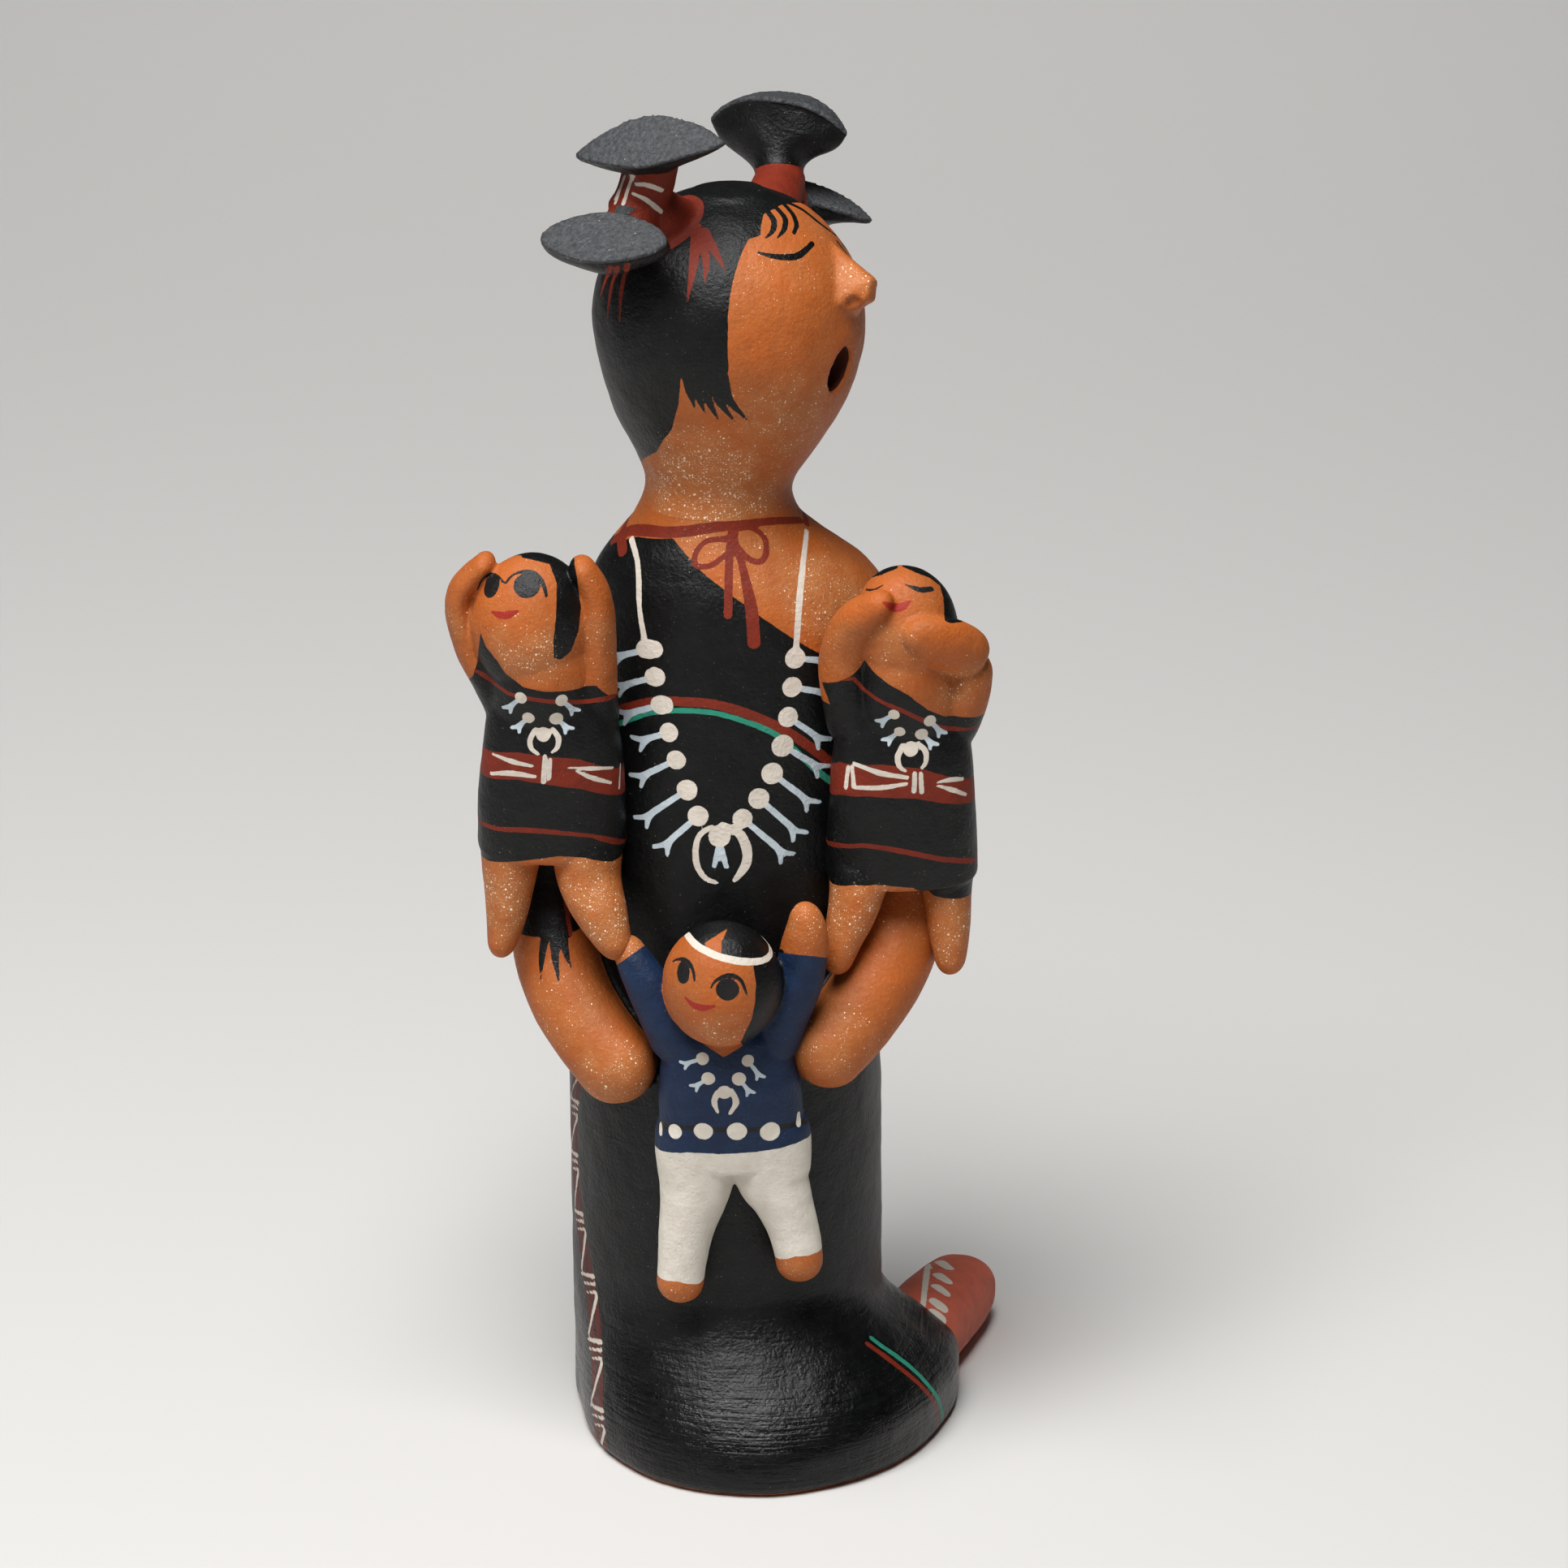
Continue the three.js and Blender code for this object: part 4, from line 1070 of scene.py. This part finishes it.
childPaint = {
    "girlOnRightArm": {
        "necklinePx": [(560, 836), (583, 832), (588, 815), (592, 779), (599, 797), (612, 813), (623.5, 830.5),
                       (643.5, 846), (672.5, 852.5), (704, 850.5), (735, 845), (770, 838)],
        "hemPx": [(601, 1060), (624.5, 1062), (650, 1060), (690, 1055), (720, 1057), (755, 1061)],
        "edgeLine": ([(588, 827), (614.5, 846), (628, 855), (659, 862), (686, 865), (726, 864), (758, 857)],
                     [0.7, 0.9, 1.0, 0.8]),
        "hemLine": ([(595, 1015), (612, 1021), (650, 1023), (689, 1026), (728, 1030), (770, 1036)],
                    [0.9, 1.2, 0.9, 0.6]),
        "beltTopPx": [(596, 920), (637, 927), (671, 931.5), (715, 935.5), (768, 941)],
        "beltBottomPx": [(596, 955), (637, 960.5), (676, 967), (715, 972), (768, 977)],
        "beltStrokes": [
            ([(607, 929), (630, 938), (656, 944)], [0.5, 1.1, 0.6]),
            ([(605, 953), (632, 953), (659, 957)], [0.7, 1.3, 0.7]),
            ([(671.5, 932), (669.5, 963)], [0.9, 1.1]), ([(678, 936), (676.5, 959)], [0.8, 0.9]),
            ([(700, 946), (728, 947), (755, 946)], [0.4, 0.9, 0.6]),
            ([(710, 950), (728, 958), (753, 964.5)], [0.4, 1.1, 0.6]),
            ([(764.5, 941), (763, 971)], [0.5, 0.6])],
        "petals": (15, 0.95),
        "leftBeads": [(641.5, 860, 7.8, 7.6, 38, 10), (651, 884.5, 7.8, 7.6, 40, 9)],
        "rightBeads": [(692, 863, 8, 7.8, 38, 10), (685.5, 885.5, 8.5, 8.5, 40, 9)],
        "pendant": ((669.5, 905), (9, 10)),
        "crescent": [([(660, 899), (653, 912), (655, 923), (663, 929)], [1.0, 1.1, 1.0, 0.7]),
                     ([(681, 899), (688, 909), (687, 921), (680, 927)], [1.0, 1.2, 1.0, 0.6])],
        "hairPx": [[(643, 687), (677, 695), (686, 719), (685, 759), (681.5, 795), (682.5, 811), (691, 813),
                    (704, 802), (713, 777), (716, 748), (712, 721), (708, 690), (700, 660), (640, 655)],
                   [(613, 693), (622, 690), (635, 684.5), (645, 684), (645, 655), (613, 655)]],
        "ink": [
            ([(588, 727), (594.5, 713.5), (605.5, 707), (614.5, 711), (621, 718)], [0.3, 0.6, 0.8, 0.6, 0.4]),
            ([(623, 719), (630, 710), (641, 705), (655, 704.5), (665, 712), (670.5, 723), (673, 734)],
             [0.4, 0.6, 0.8, 0.9, 0.9, 0.7])],
        "eyes": [((605, 722), (13, 16), 0.15), ((649, 721), (16, 16.5))],
        "hairFrom": 1.5,     # mm behind the middle of the head
        "mouth": ([(605.5, 753.5), (614, 757.5), (624, 758.5), (637.5, 753)], [0.5, 1.5, 1.6, 0.6]),
    },
    "girlOnLeftArm": {
        "necklinePx": [(1000, 842), (1012.5, 840), (1032, 840), (1049.5, 832.5), (1060, 822), (1065, 813),
                       (1076.5, 828), (1096, 843.5), (1118.5, 856), (1143, 874.5), (1165, 883), (1205, 883)],
        "hemPx": [(1024, 1087), (1052, 1090.5), (1090, 1091), (1125, 1094), (1150, 1103), (1190, 1105)],
        "edgeLine": ([(1052, 836), (1062, 847.5), (1084, 863.5), (1111, 875.5), (1135.5, 887), (1160, 896.5),
                      (1190, 899)], [0.7, 0.9, 1.1, 0.8]),
        "hemLine": ([(1020, 1038), (1043.5, 1042.5), (1067, 1042), (1116.5, 1050), (1160, 1058.5),
                     (1198, 1061)], [0.8, 1.0, 1.2, 1.2, 1.1]),
        "beltTopPx": [(1020, 936), (1034.5, 938.5), (1086.5, 942), (1135.5, 947), (1205, 955)],
        "beltBottomPx": [(1020, 977), (1036, 979), (1071.5, 981.5), (1130, 984), (1205, 988)],
        "beltStrokes": [
            ([(1045, 945), (1042, 970)], [0.8, 1.0]), ([(1050, 945), (1052, 969)], [0.8, 1.0]),
            ([(1052, 941), (1086, 953), (1118, 958)], [0.8, 1.2, 0.8]),
            ([(1054, 970.5), (1086, 970.5), (1117, 966)], [0.8, 1.1, 0.7]),
            ([(1127, 953), (1126, 975)], [0.9, 1.0]), ([(1134.5, 953), (1135.5, 976)], [0.9, 1.0]),
            ([(1155, 964), (1170, 961), (1186, 959.5)], [0.3, 1.1, 0.8]),
            ([(1154, 968), (1171, 972.5), (1190, 979)], [0.4, 1.1, 0.7])],
        "petals": (15, 0.95),
        "leftBeads": [(1101.5, 880.5, 7, 6.9, 28, 9), (1108.5, 901.5, 7, 6.9, 34, 9)],
        "rightBeads": [(1146, 888.5, 8, 7.8, 45, 10), (1135.5, 904.5, 8, 8, 42, 9)],
        "pendant": ((1122, 923), (9, 10.5)),
        "crescent": [([(1112, 919), (1106, 933), (1108.5, 945), (1116, 950)], [1.0, 1.2, 1.1, 0.6]),
                     ([(1131, 916), (1140.5, 926), (1140.5, 940), (1136, 946)], [0.9, 1.2, 1.0, 0.7])],
        "hairPx": [[(1112, 698), (1128, 705.5), (1145.5, 712), (1158, 721.5), (1162.5, 736.5), (1164, 765),
                    (1185, 775), (1190, 730), (1160, 680), (1112, 680)],
                   [(1106, 700), (1086.5, 708), (1070, 713), (1060, 690), (1106, 680)]],
        "ink": [([(1062, 725.5), (1076, 727), (1088, 721)], [0.4, 0.6, 0.4]),
                ([(1115, 720), (1128, 725.5), (1137, 727), (1148, 725.5)], [0.3, 0.7, 1.3, 1.2]),
                ([(1120, 722), (1130, 724)], [0.5, 0.6])],
        "eyes": [],          # both are closed
        "hairFrom": 1.5,
        "mouth": ([(1089, 742.5), (1099, 748), (1109, 748.5), (1121, 741)], [0.6, 1.8, 1.8, 0.6]),
    },
}
# All in mm: how far off a child's head the hair reaches, and how far it keeps off the arms. How far
# back of the head's middle the front view's hair goes, and how wide a line is round the dress
hairReach, hairOffArms, frontDeep, dressLineHalf = 1.5, 0.6, 4, 0.35


# How far points are off a child's head, less than nothing inside it
def besideHead(piece, child):
    centre, halfSizes = child["head"]["centre"], child["head"]["halfSizes"]
    shares = (clayOf(piece) - np.array(centre)) / np.array(halfSizes)
    return (np.linalg.norm(shares, axis=1) - 1) * min(halfSizes)


# How far points are behind the middle of a child's head
def behindHead(piece, child):
    return clayOf(piece)[:, 1] - child["head"]["centre"][1]


def hairBehind(piece, child, start):
    arms = np.min([nearRoll(piece, path, childLimb * max(widths) / 2 + hairOffArms)
                   for path, widths, _ in child["limbs"][:2]], axis=0)
    fill(piece, "black", np.maximum.reduce([
        besideHead(piece, child) - hairReach, start - behindHead(piece, child), -arms]))


def paintGirl(piece, child):
    look = childPaint[child["name"]]
    fill(piece, "black", between(piece, look["necklinePx"], look["hemPx"]))
    hairBehind(piece, child, look["hairFrom"])
    inFront = np.maximum(behindHead(piece, child) - frontDeep, besideHead(piece, child) - hairReach - 1)
    for outline in look["hairPx"]:
        fillSeen(piece, "black", outline, keepWithin=inFront)
    fill(piece, "red", between(piece, look["beltTopPx"], look["beltBottomPx"]))
    dress = paintOf(piece, "black")
    for stroke in (look["edgeLine"], look["hemLine"]):
        brush(piece, "red", stroke)
        fill(piece, "red", np.maximum(np.abs(aboveLine(piece, stroke[0])) - dressLineHalf, dress))
    brush(piece, "lipRed", look["mouth"])
    brush(piece, "white", *look["beltStrokes"])
    paintNecklace(piece, look)
    brush(piece, "ink", *look["ink"])
    for eye in look["eyes"]:
        dab(piece, "ink", *eye)


boyPaint = {
    "shirtPx": [(745, 1199), (756, 1192), (794, 1165), (812, 1176), (819, 1200), (821, 1222), (829, 1249),
                (846, 1272), (870, 1288), (891.5, 1303), (913, 1290), (931, 1270), (952, 1241), (963, 1211),
                (957, 1173), (989.5, 1177), (1030, 1181), (1060, 1460), (740, 1460)],
    "hemPx": [(815, 1418), (846, 1420), (888.5, 1422), (939, 1418.5), (984, 1407)],
    "cuffsPx": [(816, 1576), (836, 1579), (861, 1582), (960, 1551), (980, 1548), (1002, 1545)],
    "crownPx": [(846, 1152), (857, 1164), (873, 1173), (894, 1181), (920, 1185), (939, 1184),
                (950, 1177), (950, 1166), (975, 1160), (950, 1100), (892, 1090), (835, 1105),
                (818, 1150), (833, 1158)],
    "partingPx": [(896.5, 1144), (868, 1162), (872, 1172), (888, 1180), (889.5, 1160)],
    "hairPx": [(928, 1190), (931.5, 1211), (930.5, 1233), (926, 1256), (912.5, 1284), (917, 1290),
               (940, 1278), (968, 1250), (985, 1211), (975, 1170), (948, 1168)],
    "headband": [([(846, 1151), (857, 1163.5), (872.5, 1173), (894, 1181), (920, 1185), (939, 1183.5),
                   (949, 1177), (948.5, 1166), (939, 1154)],
                  [1.3, 1.5, 1.5, 1.5, 1.6, 1.5, 1.3, 1.2, 0.6]),
                 ([(845, 1150), (833, 1160), (820, 1182)], [1.0, 0.6, 0.5])],
    "eyes": [((841.5, 1198), (10, 15)), ((896.5, 1219.5), (15.5, 13.5))],
    "ink": [([(829, 1184.5), (837, 1181.5), (846, 1183.5), (853, 1193), (856, 1209)],
             [0.4, 0.8, 0.9, 0.7, 0.4]),
            ([(876, 1217), (881, 1209), (891, 1203.5), (899, 1201.5), (912.5, 1207.5), (920.5, 1226)],
             [0.4, 0.7, 0.9, 0.9, 0.7, 0.5])],
    "mouth": ([(844, 1229), (855, 1239), (868, 1242), (880, 1240)], [0.5, 1.3, 1.6, 0.6]),
    "beltLine": ([(800, 1387), (846, 1389.5), (886, 1392), (926, 1392), (965.5, 1388), (995, 1381)],
                 [1.1, 1.2, 1.1]),
    "discs": [((814, 1391), (3.5, 9)), ((831.5, 1394), (10, 9.5)), ((866.5, 1394), (13, 11.5)),
              ((908, 1394), (13.5, 12)), ((949, 1394), (14, 12.5)), ((984, 1379), (4.5, 10))],
    "petals": (14, 0.8),
    "leftBeads": [(865.5, 1304.5, 8, 8, 16, 14), (872.5, 1329, 9.5, 8.2, 30, 10)],
    "rightBeads": [(921.5, 1307, 7.6, 7.6, 52, 15), (910.5, 1329.5, 9.6, 8.6, 50, 12)],
    "pendant": ((892.5, 1346), (9, 9)),
    "crescent": [([(884, 1346), (880, 1358), (884.5, 1371)], [1.1, 1.3, 0.5]),
                 ([(901, 1344), (907, 1358), (899.5, 1372)], [1.1, 1.3, 0.7])],
    "legEdge": ([(808, 1424), (806, 1500), (810, 1574)], [0.5, 0.6, 0.4]),
    "hairFrom": 3, "besideShirt": 0.5, "shirtHem": 0.7,    # mm
}


def paintBoy():
    offHead = besideHead(boy, boyInFront)
    inFront = behindHead(boy, boyInFront) - frontDeep
    fillSeen(boy, "blue", boyPaint["shirtPx"], keepWithin=boyPaint["besideShirt"] - offHead)
    wipe(boy, "blue", aboveLine(boy, boyPaint["hemPx"]) + boyPaint["shirtHem"])
    fill(boy, "cream", between(boy, boyPaint["hemPx"], boyPaint["cuffsPx"]))
    hairBehind(boy, boyInFront, boyPaint["hairFrom"])
    fillSeen(boy, "black", boyPaint["crownPx"], keepWithin=offHead - hairReach)
    wipe(boy, "black", np.maximum(seenOutline(boy, boyPaint["partingPx"]), inFront))
    fillSeen(boy, "black", boyPaint["hairPx"],
             keepWithin=np.maximum(inFront - frontDeep, offHead - hairReach))
    brush(boy, "blue", boyPaint["legEdge"])
    for disc in boyPaint["discs"]:
        dab(boy, "disc", *disc)
    brush(boy, "lipRed", boyPaint["mouth"])
    brush(boy, "white", *boyPaint["headband"])
    paintNecklace(boy, boyPaint)
    brush(boy, "ink", boyPaint["beltLine"], *boyPaint["ink"])
    for eye in boyPaint["eyes"]:
        dab(boy, "ink", *eye)


shoePaint = {
    "line": ([(1144, 1548), (1141.5, 1571), (1138.5, 1597), (1136, 1619)], [1.1, 1.4, 1.2, 1.1]),
    "dotsPx": [(1163.5, 1558.5), (1161.5, 1574.5), (1159.5, 1589), (1157, 1607.5), (1154.5, 1622.5)],
    "dotHalfPx": (15, 7.8), "dotSlant": 0.62,
}


def paintShoes():
    fill(shoes, "moccasinRed", skirtPaint["bareEdge"] - clayOf(shoes)[:, 2])
    brush(shoes, "white", shoePaint["line"])
    for centre in shoePaint["dotsPx"]:
        dab(shoes, "white", centre, shoePaint["dotHalfPx"], shoePaint["dotSlant"])


paintSkirt()
paintTorso()
paintHead()
paintGirl(girlRight, girlOnRightArm)
paintGirl(girlLeft, girlOnLeftArm)
paintBoy()
paintShoes()


def keepOnPoints(piece, name, values):
    layer = piece.data.attributes.new(name, "FLOAT", "POINT")
    layer.data.foreach_set("value", values.astype(np.float32))


for piece in pieces:
    for paint, depth in surfaceOf(piece)["paints"].items():
        keepOnPoints(piece, paint, np.clip(depth, -farAway, farAway))
print("paint is laid")


# Mica shows most where the clay was left unburnished. Each spot has its pixel, how far it reaches
# in mm, and how thick the flecks lie there, where 0 is none and 1 is thick
thinMica = 0.22       # everywhere else
micaSpots = {
    "headAndHair": [((870, 600), 22, 1.15), ((975, 520), 17, 0.85), ((1000, 440), 12, 0.35),
                    ((1052, 345), 8, 0.75), ((930, 330), 9, 0.5), ((985, 330), 8, 0.4)],
    "torsoAndArms": [((1015, 730), 14, 0.9), ((930, 700), 14, 0.6), ((860, 668), 9, 0.8),
                     ((690, 1240), 15, 0.5), ((755, 1330), 13, 0.85), ((1115, 1130), 13, 0.45),
                     ((1030, 1290), 14, 0.65)],
    "girlOnRightArm": [((655, 800), 12, 1), ((612, 740), 6, 0.4), ((618, 1110), 14, 0.9),
                       ((735, 1110), 15, 1), ((735, 790), 9, 0.6), ((565, 760), 8, 0.5)],
    "girlOnLeftArm": [((1105, 810), 10, 0.8), ((1180, 840), 9, 0.9), ((1040, 800), 9, 0.5),
                      ((1045, 1120), 14, 1), ((1175, 1150), 12, 0.9)],
    "boyInFront": [((890, 1275), 8, 0.8), ((850, 1220), 7, 0.4), ((990, 1135), 9, 0.6),
                   ((778, 1155), 7, 0.6), ((832, 1592), 7, 0.7), ((983, 1560), 7, 0.7)],
}
for piece in pieces:
    thick = np.full(len(clayOf(piece)), thinMica)
    for pixel, reach, amount in micaSpots.get(piece.name, []):
        away = farFrom(piece, touch(piece, pixel))
        thick = np.maximum(thick, amount * (1 - smoothStep(away, reach * 0.35, reach)))
    keepOnPoints(piece, "micaFlecks", thick)


# Materials

# Each paint: its colour, the colour that it wears to, its roughness, and how much of the mica's
# painted glint still shows through it
paints = {
    "black": {"colour": "#060707", "worn": "#131515", "rough": 0.42, "mica": 0.16},
    "blue": {"colour": "#11233f", "worn": "#1b3355", "rough": 0.55, "mica": 0.1},
    "cream": {"colour": "#dcd5c9", "worn": "#c6bcac", "rough": 0.75, "mica": 0},
    "red": {"colour": "#7a2612", "worn": "#5c1e11", "rough": 0.6, "mica": 0.12},
    "seamRed": {"colour": "#5a211a", "worn": "#43201b", "rough": 0.6, "mica": 0.12},
    "lipRed": {"colour": "#9c2a1e", "worn": "#872a1c", "rough": 0.5, "mica": 0.12},
    "moccasinRed": {"colour": "#c5624b", "worn": "#a04e3c", "rough": 0.6, "mica": 0.12},
    "turquoise": {"colour": "#2b8a70", "worn": "#2a6e60", "rough": 0.65, "mica": 0},
    "petal": {"colour": "#bfcad0", "worn": "#a4b2ba", "rough": 0.65, "mica": 0},
    "ink": {"colour": "#121112", "worn": "#2a2826", "rough": 0.45, "mica": 0},
    "disc": {"colour": "#e0d8cb", "worn": "#c9beae", "rough": 0.7, "mica": 0},
    "white": {"colour": "#d6ccbf", "worn": "#bfb6a9", "rough": 0.7, "mica": 0},
    # The torn cut faces of the buns: worn black paint over broken clay, made grey partly as painted light
    # where their rough faces catch the lamp above
    "tornFace": {"colour": "#353638", "worn": "#606164", "rough": 0.5, "mica": 0.5, "patch": 0.8},
    # Painted shade inside the mouth hollow and the nostrils
    "recessShade": {"colour": "#4a1c0e", "worn": "#2c1008", "rough": 0.8, "mica": 0},
}
clayLook = {
    # The fleck colour is the pale colour of mica, brightened to a painted glint
    "warm": "#b55c22", "pale": "#a65b29", "shaded": "#8a4420", "micaGlint": "#ffeed6", "dust": "#c99560",
    # Pattern sizes in mm: clouds in the slip, its grain, thumbed dips, patches of mica, worn patches
    # of paint, the wavering of a painted edge and the grit of torn clay
    "blotch": 16, "grain": 0.75, "unevenness": 3.2, "micaPatch": 6.0, "wornPatch": 4.0,
    "edgeWave": 1.6, "grit": 0.9,
    # Mica is finer than this and drawn to show, each fleck pale and lit up as a painted glint: spacing in
    # mm, the most cells that hold a fleck, its size as a share of the spacing, and how bright its glint is
    "fleckGlints": [(1, 0.34, 0.27, 1.0), (0.56, 0.4, 0.32, 0.95), (0.36, 0.46, 0.38, 0.5)],
    # Streaks per mm where a stone rubbed the skirt, which fade in over so many mm below a height
    "burnish": (0.07, 0.07, 1.5), "burnishFrom": 34, "burnishFade": 18,
    "brushWobble": 0.28, "softEdge": 0.05,      # mm that a painted edge wavers and fades
    "rough": (0.42, 0.66), "specular": 0.27,    # unglazed clay shines little
    "bump": 0.6, "bumpDeep": 0.4, "gritBump": 2.6,    # share, mm, and how much deeper torn clay is
}


# Hand-coiled micaceous clay, scraped, slipped and fired without glaze: soft orange skin with flecks
# of mica drawn as painted glints, under matt hand-brushed paints
def paintedClay(piece):
    material, tree = newMaterial("paintedMicaceousClay_" + piece.name)
    add = partial(addNode, tree)
    place = add("TexCoord")["Object"]
    inMm = add("Mapping", {"Vector": place, "Scale": (1 / mm,) * 3})[0]

    # What a noise of a size in mm reads. Its values run from about 0.3 to 0.7
    noise = lambda size, detail=2.0: {
        "Vector": inMm, "Scale": 1 / size, "Detail": detail, "Roughness": 0.6}
    grain = add("TexNoise", noise(clayLook["grain"], 4.0))[0]
    clouds = add("MapRange", [add("TexNoise", noise(clayLook["blotch"]))[0], 0.35, 0.65])[0]
    colour = add("Mix", {0: clouds, 6: toLinear(clayLook["warm"]), 7: toLinear(clayLook["pale"])},
                 data_type="RGBA")[2]
    shading = add("MapRange", [grain, 0.35, 0.8, 0.0, 0.4])[0]
    colour = add("Mix", {0: shading, 6: colour, 7: toLinear(clayLook["shaded"])}, data_type="RGBA")[2]

    # Mica: scattered cells of three fine cell patterns, more of them where it lies thick, each a painted
    # glint of near white
    patches = add("TexNoise", noise(clayLook["micaPatch"]))[0]
    patches = add("MapRange", [patches, 0.3, 0.62, 0.35, 1.3])[0]
    lying = add("Attribute", attribute_name="micaFlecks")["Fac"]
    thick = add("Math", [lying, patches], operation="MULTIPLY")[0]
    dusty = add("MapRange", [thick, 0.15, 1.1, 0.0, 0.28])[0]
    colour = add("Mix", {0: dusty, 6: colour, 7: toLinear(clayLook["dust"])}, data_type="RGBA")[2]
    fleckGlints = 0.0
    for spacing, most, size, bright in clayLook["fleckGlints"]:
        cells = add("TexVoronoi", {"Vector": inMm, "Scale": 1 / spacing, "Randomness": 1.0})
        chances = add("SeparateColor", [cells["Color"]])
        over = add("Math", [thick, most], operation="MULTIPLY")[0]
        over = add("Math", [over, chances[0]], operation="SUBTRACT")[0]
        growth = add("MapRange", [over, 0.0, most, 0.35, 1.0])[0]
        reach = add("Math", [growth, size], operation="MULTIPLY")[0]
        here = add("Math", [cells["Distance"], reach], operation="LESS_THAN")[0]
        chosen = add("Math", [over, 0.0], operation="GREATER_THAN")[0]
        here = add("Math", [here, chosen], operation="MULTIPLY")[0]
        shine = add("MapRange", [chances[1], 0.0, 1.0, bright * 0.45, bright])[0]
        lit = add("Math", [here, shine], operation="MULTIPLY")[0]
        fleckGlints = add("Math", [fleckGlints, lit], operation="MAXIMUM")[0]

    # Each paint lies over the ones before it, with a wavering edge
    wave = add("Math", [add("TexNoise", noise(clayLook["edgeWave"]))[0], 0.5], operation="SUBTRACT")[0]
    wave = add("Math", [wave, clayLook["brushWobble"]], operation="MULTIPLY")[0]
    bareness, rough = 1.0, add("MapRange", [grain, 0.3, 0.7, *clayLook["rough"]])[0]
    for name, look in paints.items():
        if name not in surfaceOf(piece)["paints"]:
            continue
        edge = add("Math", [add("Attribute", attribute_name=name)["Fac"], wave], operation="ADD")[0]
        cover = add("MapRange", [edge, clayLook["softEdge"], -clayLook["softEdge"], 0.0, 1.0])[0]
        patch = add("TexNoise", noise(look.get("patch", clayLook["wornPatch"]), 4.0))[0]
        wear = add("MapRange", [patch, 0.4, 0.75, 0.0, 0.6])[0]
        shade = add("Mix", {0: wear, 6: toLinear(look["colour"]), 7: toLinear(look["worn"])},
                    data_type="RGBA")[2]
        colour = add("Mix", {0: cover, 6: colour, 7: shade}, data_type="RGBA")[2]
        rough = add("Mix", {0: cover, 2: rough, 3: look["rough"]})[0]
        bareness = add("Mix", {0: cover, 2: bareness, 3: look["mica"]})[0]

    # Painted glints: the mica flecks are mixed in near white wherever the paint lets them show
    shown = add("Math", [fleckGlints, bareness], operation="MULTIPLY")[0]
    colour = add("Mix", {0: shown, 6: colour, 7: toLinear(clayLook["micaGlint"])}, data_type="RGBA")[2]
    dips = add("TexNoise", noise(clayLook["unevenness"], 3.0))[0]
    height = add("Math", [grain, 0.9, dips], operation="MULTIPLY_ADD")[0]
    if piece is skirt:
        level = add("Mapping", {"Vector": inMm, "Scale": clayLook["burnish"]})[0]
        streaks = add("TexNoise", {"Vector": level, "Scale": 1.0, "Detail": 2.0})[0]
        upright = add("SeparateXYZ", [inMm])[2]
        start = clayLook["burnishFrom"]
        rubbed = add("MapRange", [upright, start, start - clayLook["burnishFade"], 0.0, 1.0])[0]
        strength = add("MapRange", [rubbed, 0.0, 1.0, 0.2, 0.9])[0]
        height = add("Math", [streaks, strength, height], operation="MULTIPLY_ADD")[0]
        shine = add("MapRange", [streaks, 0.35, 0.65, -0.25, -0.1])[0]
        rough = add("Math", [rubbed, shine, rough], operation="MULTIPLY_ADD")[0]
    if "tornFace" in surfaceOf(piece)["paints"]:
        face = add("Attribute", attribute_name="tornFace")["Fac"]
        broken = add("MapRange", [face, 0.3, -0.3, 0.0, clayLook["gritBump"]])[0]
        grit = add("TexNoise", noise(clayLook["grit"], 4.0))[0]
        height = add("Math", [grit, broken, height], operation="MULTIPLY_ADD")[0]
    bump = add("Bump", {"Height": height, "Strength": clayLook["bump"],
                        "Distance": clayLook["bumpDeep"] * mm})[0]
    shader = add("BsdfPrincipled", {"Base Color": colour, "Roughness": rough, "Normal": bump,
                                    "Specular IOR Level": clayLook["specular"]})[0]
    add("OutputMaterial", {"Surface": shader})
    return material


sharpFrom = 40    # degrees between faces
for piece in pieces:
    piece.data.materials.clear()
    piece.data.materials.append(paintedClay(piece))
    selectOnly(piece)
    bpy.ops.object.shade_smooth_by_angle(angle=math.radians(sharpFrom))
    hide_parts("storyteller_figure")
    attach(piece, "root")
    print(piece.name, "has", sum(len(face.vertices) - 2 for face in piece.data.polygons), "triangles")
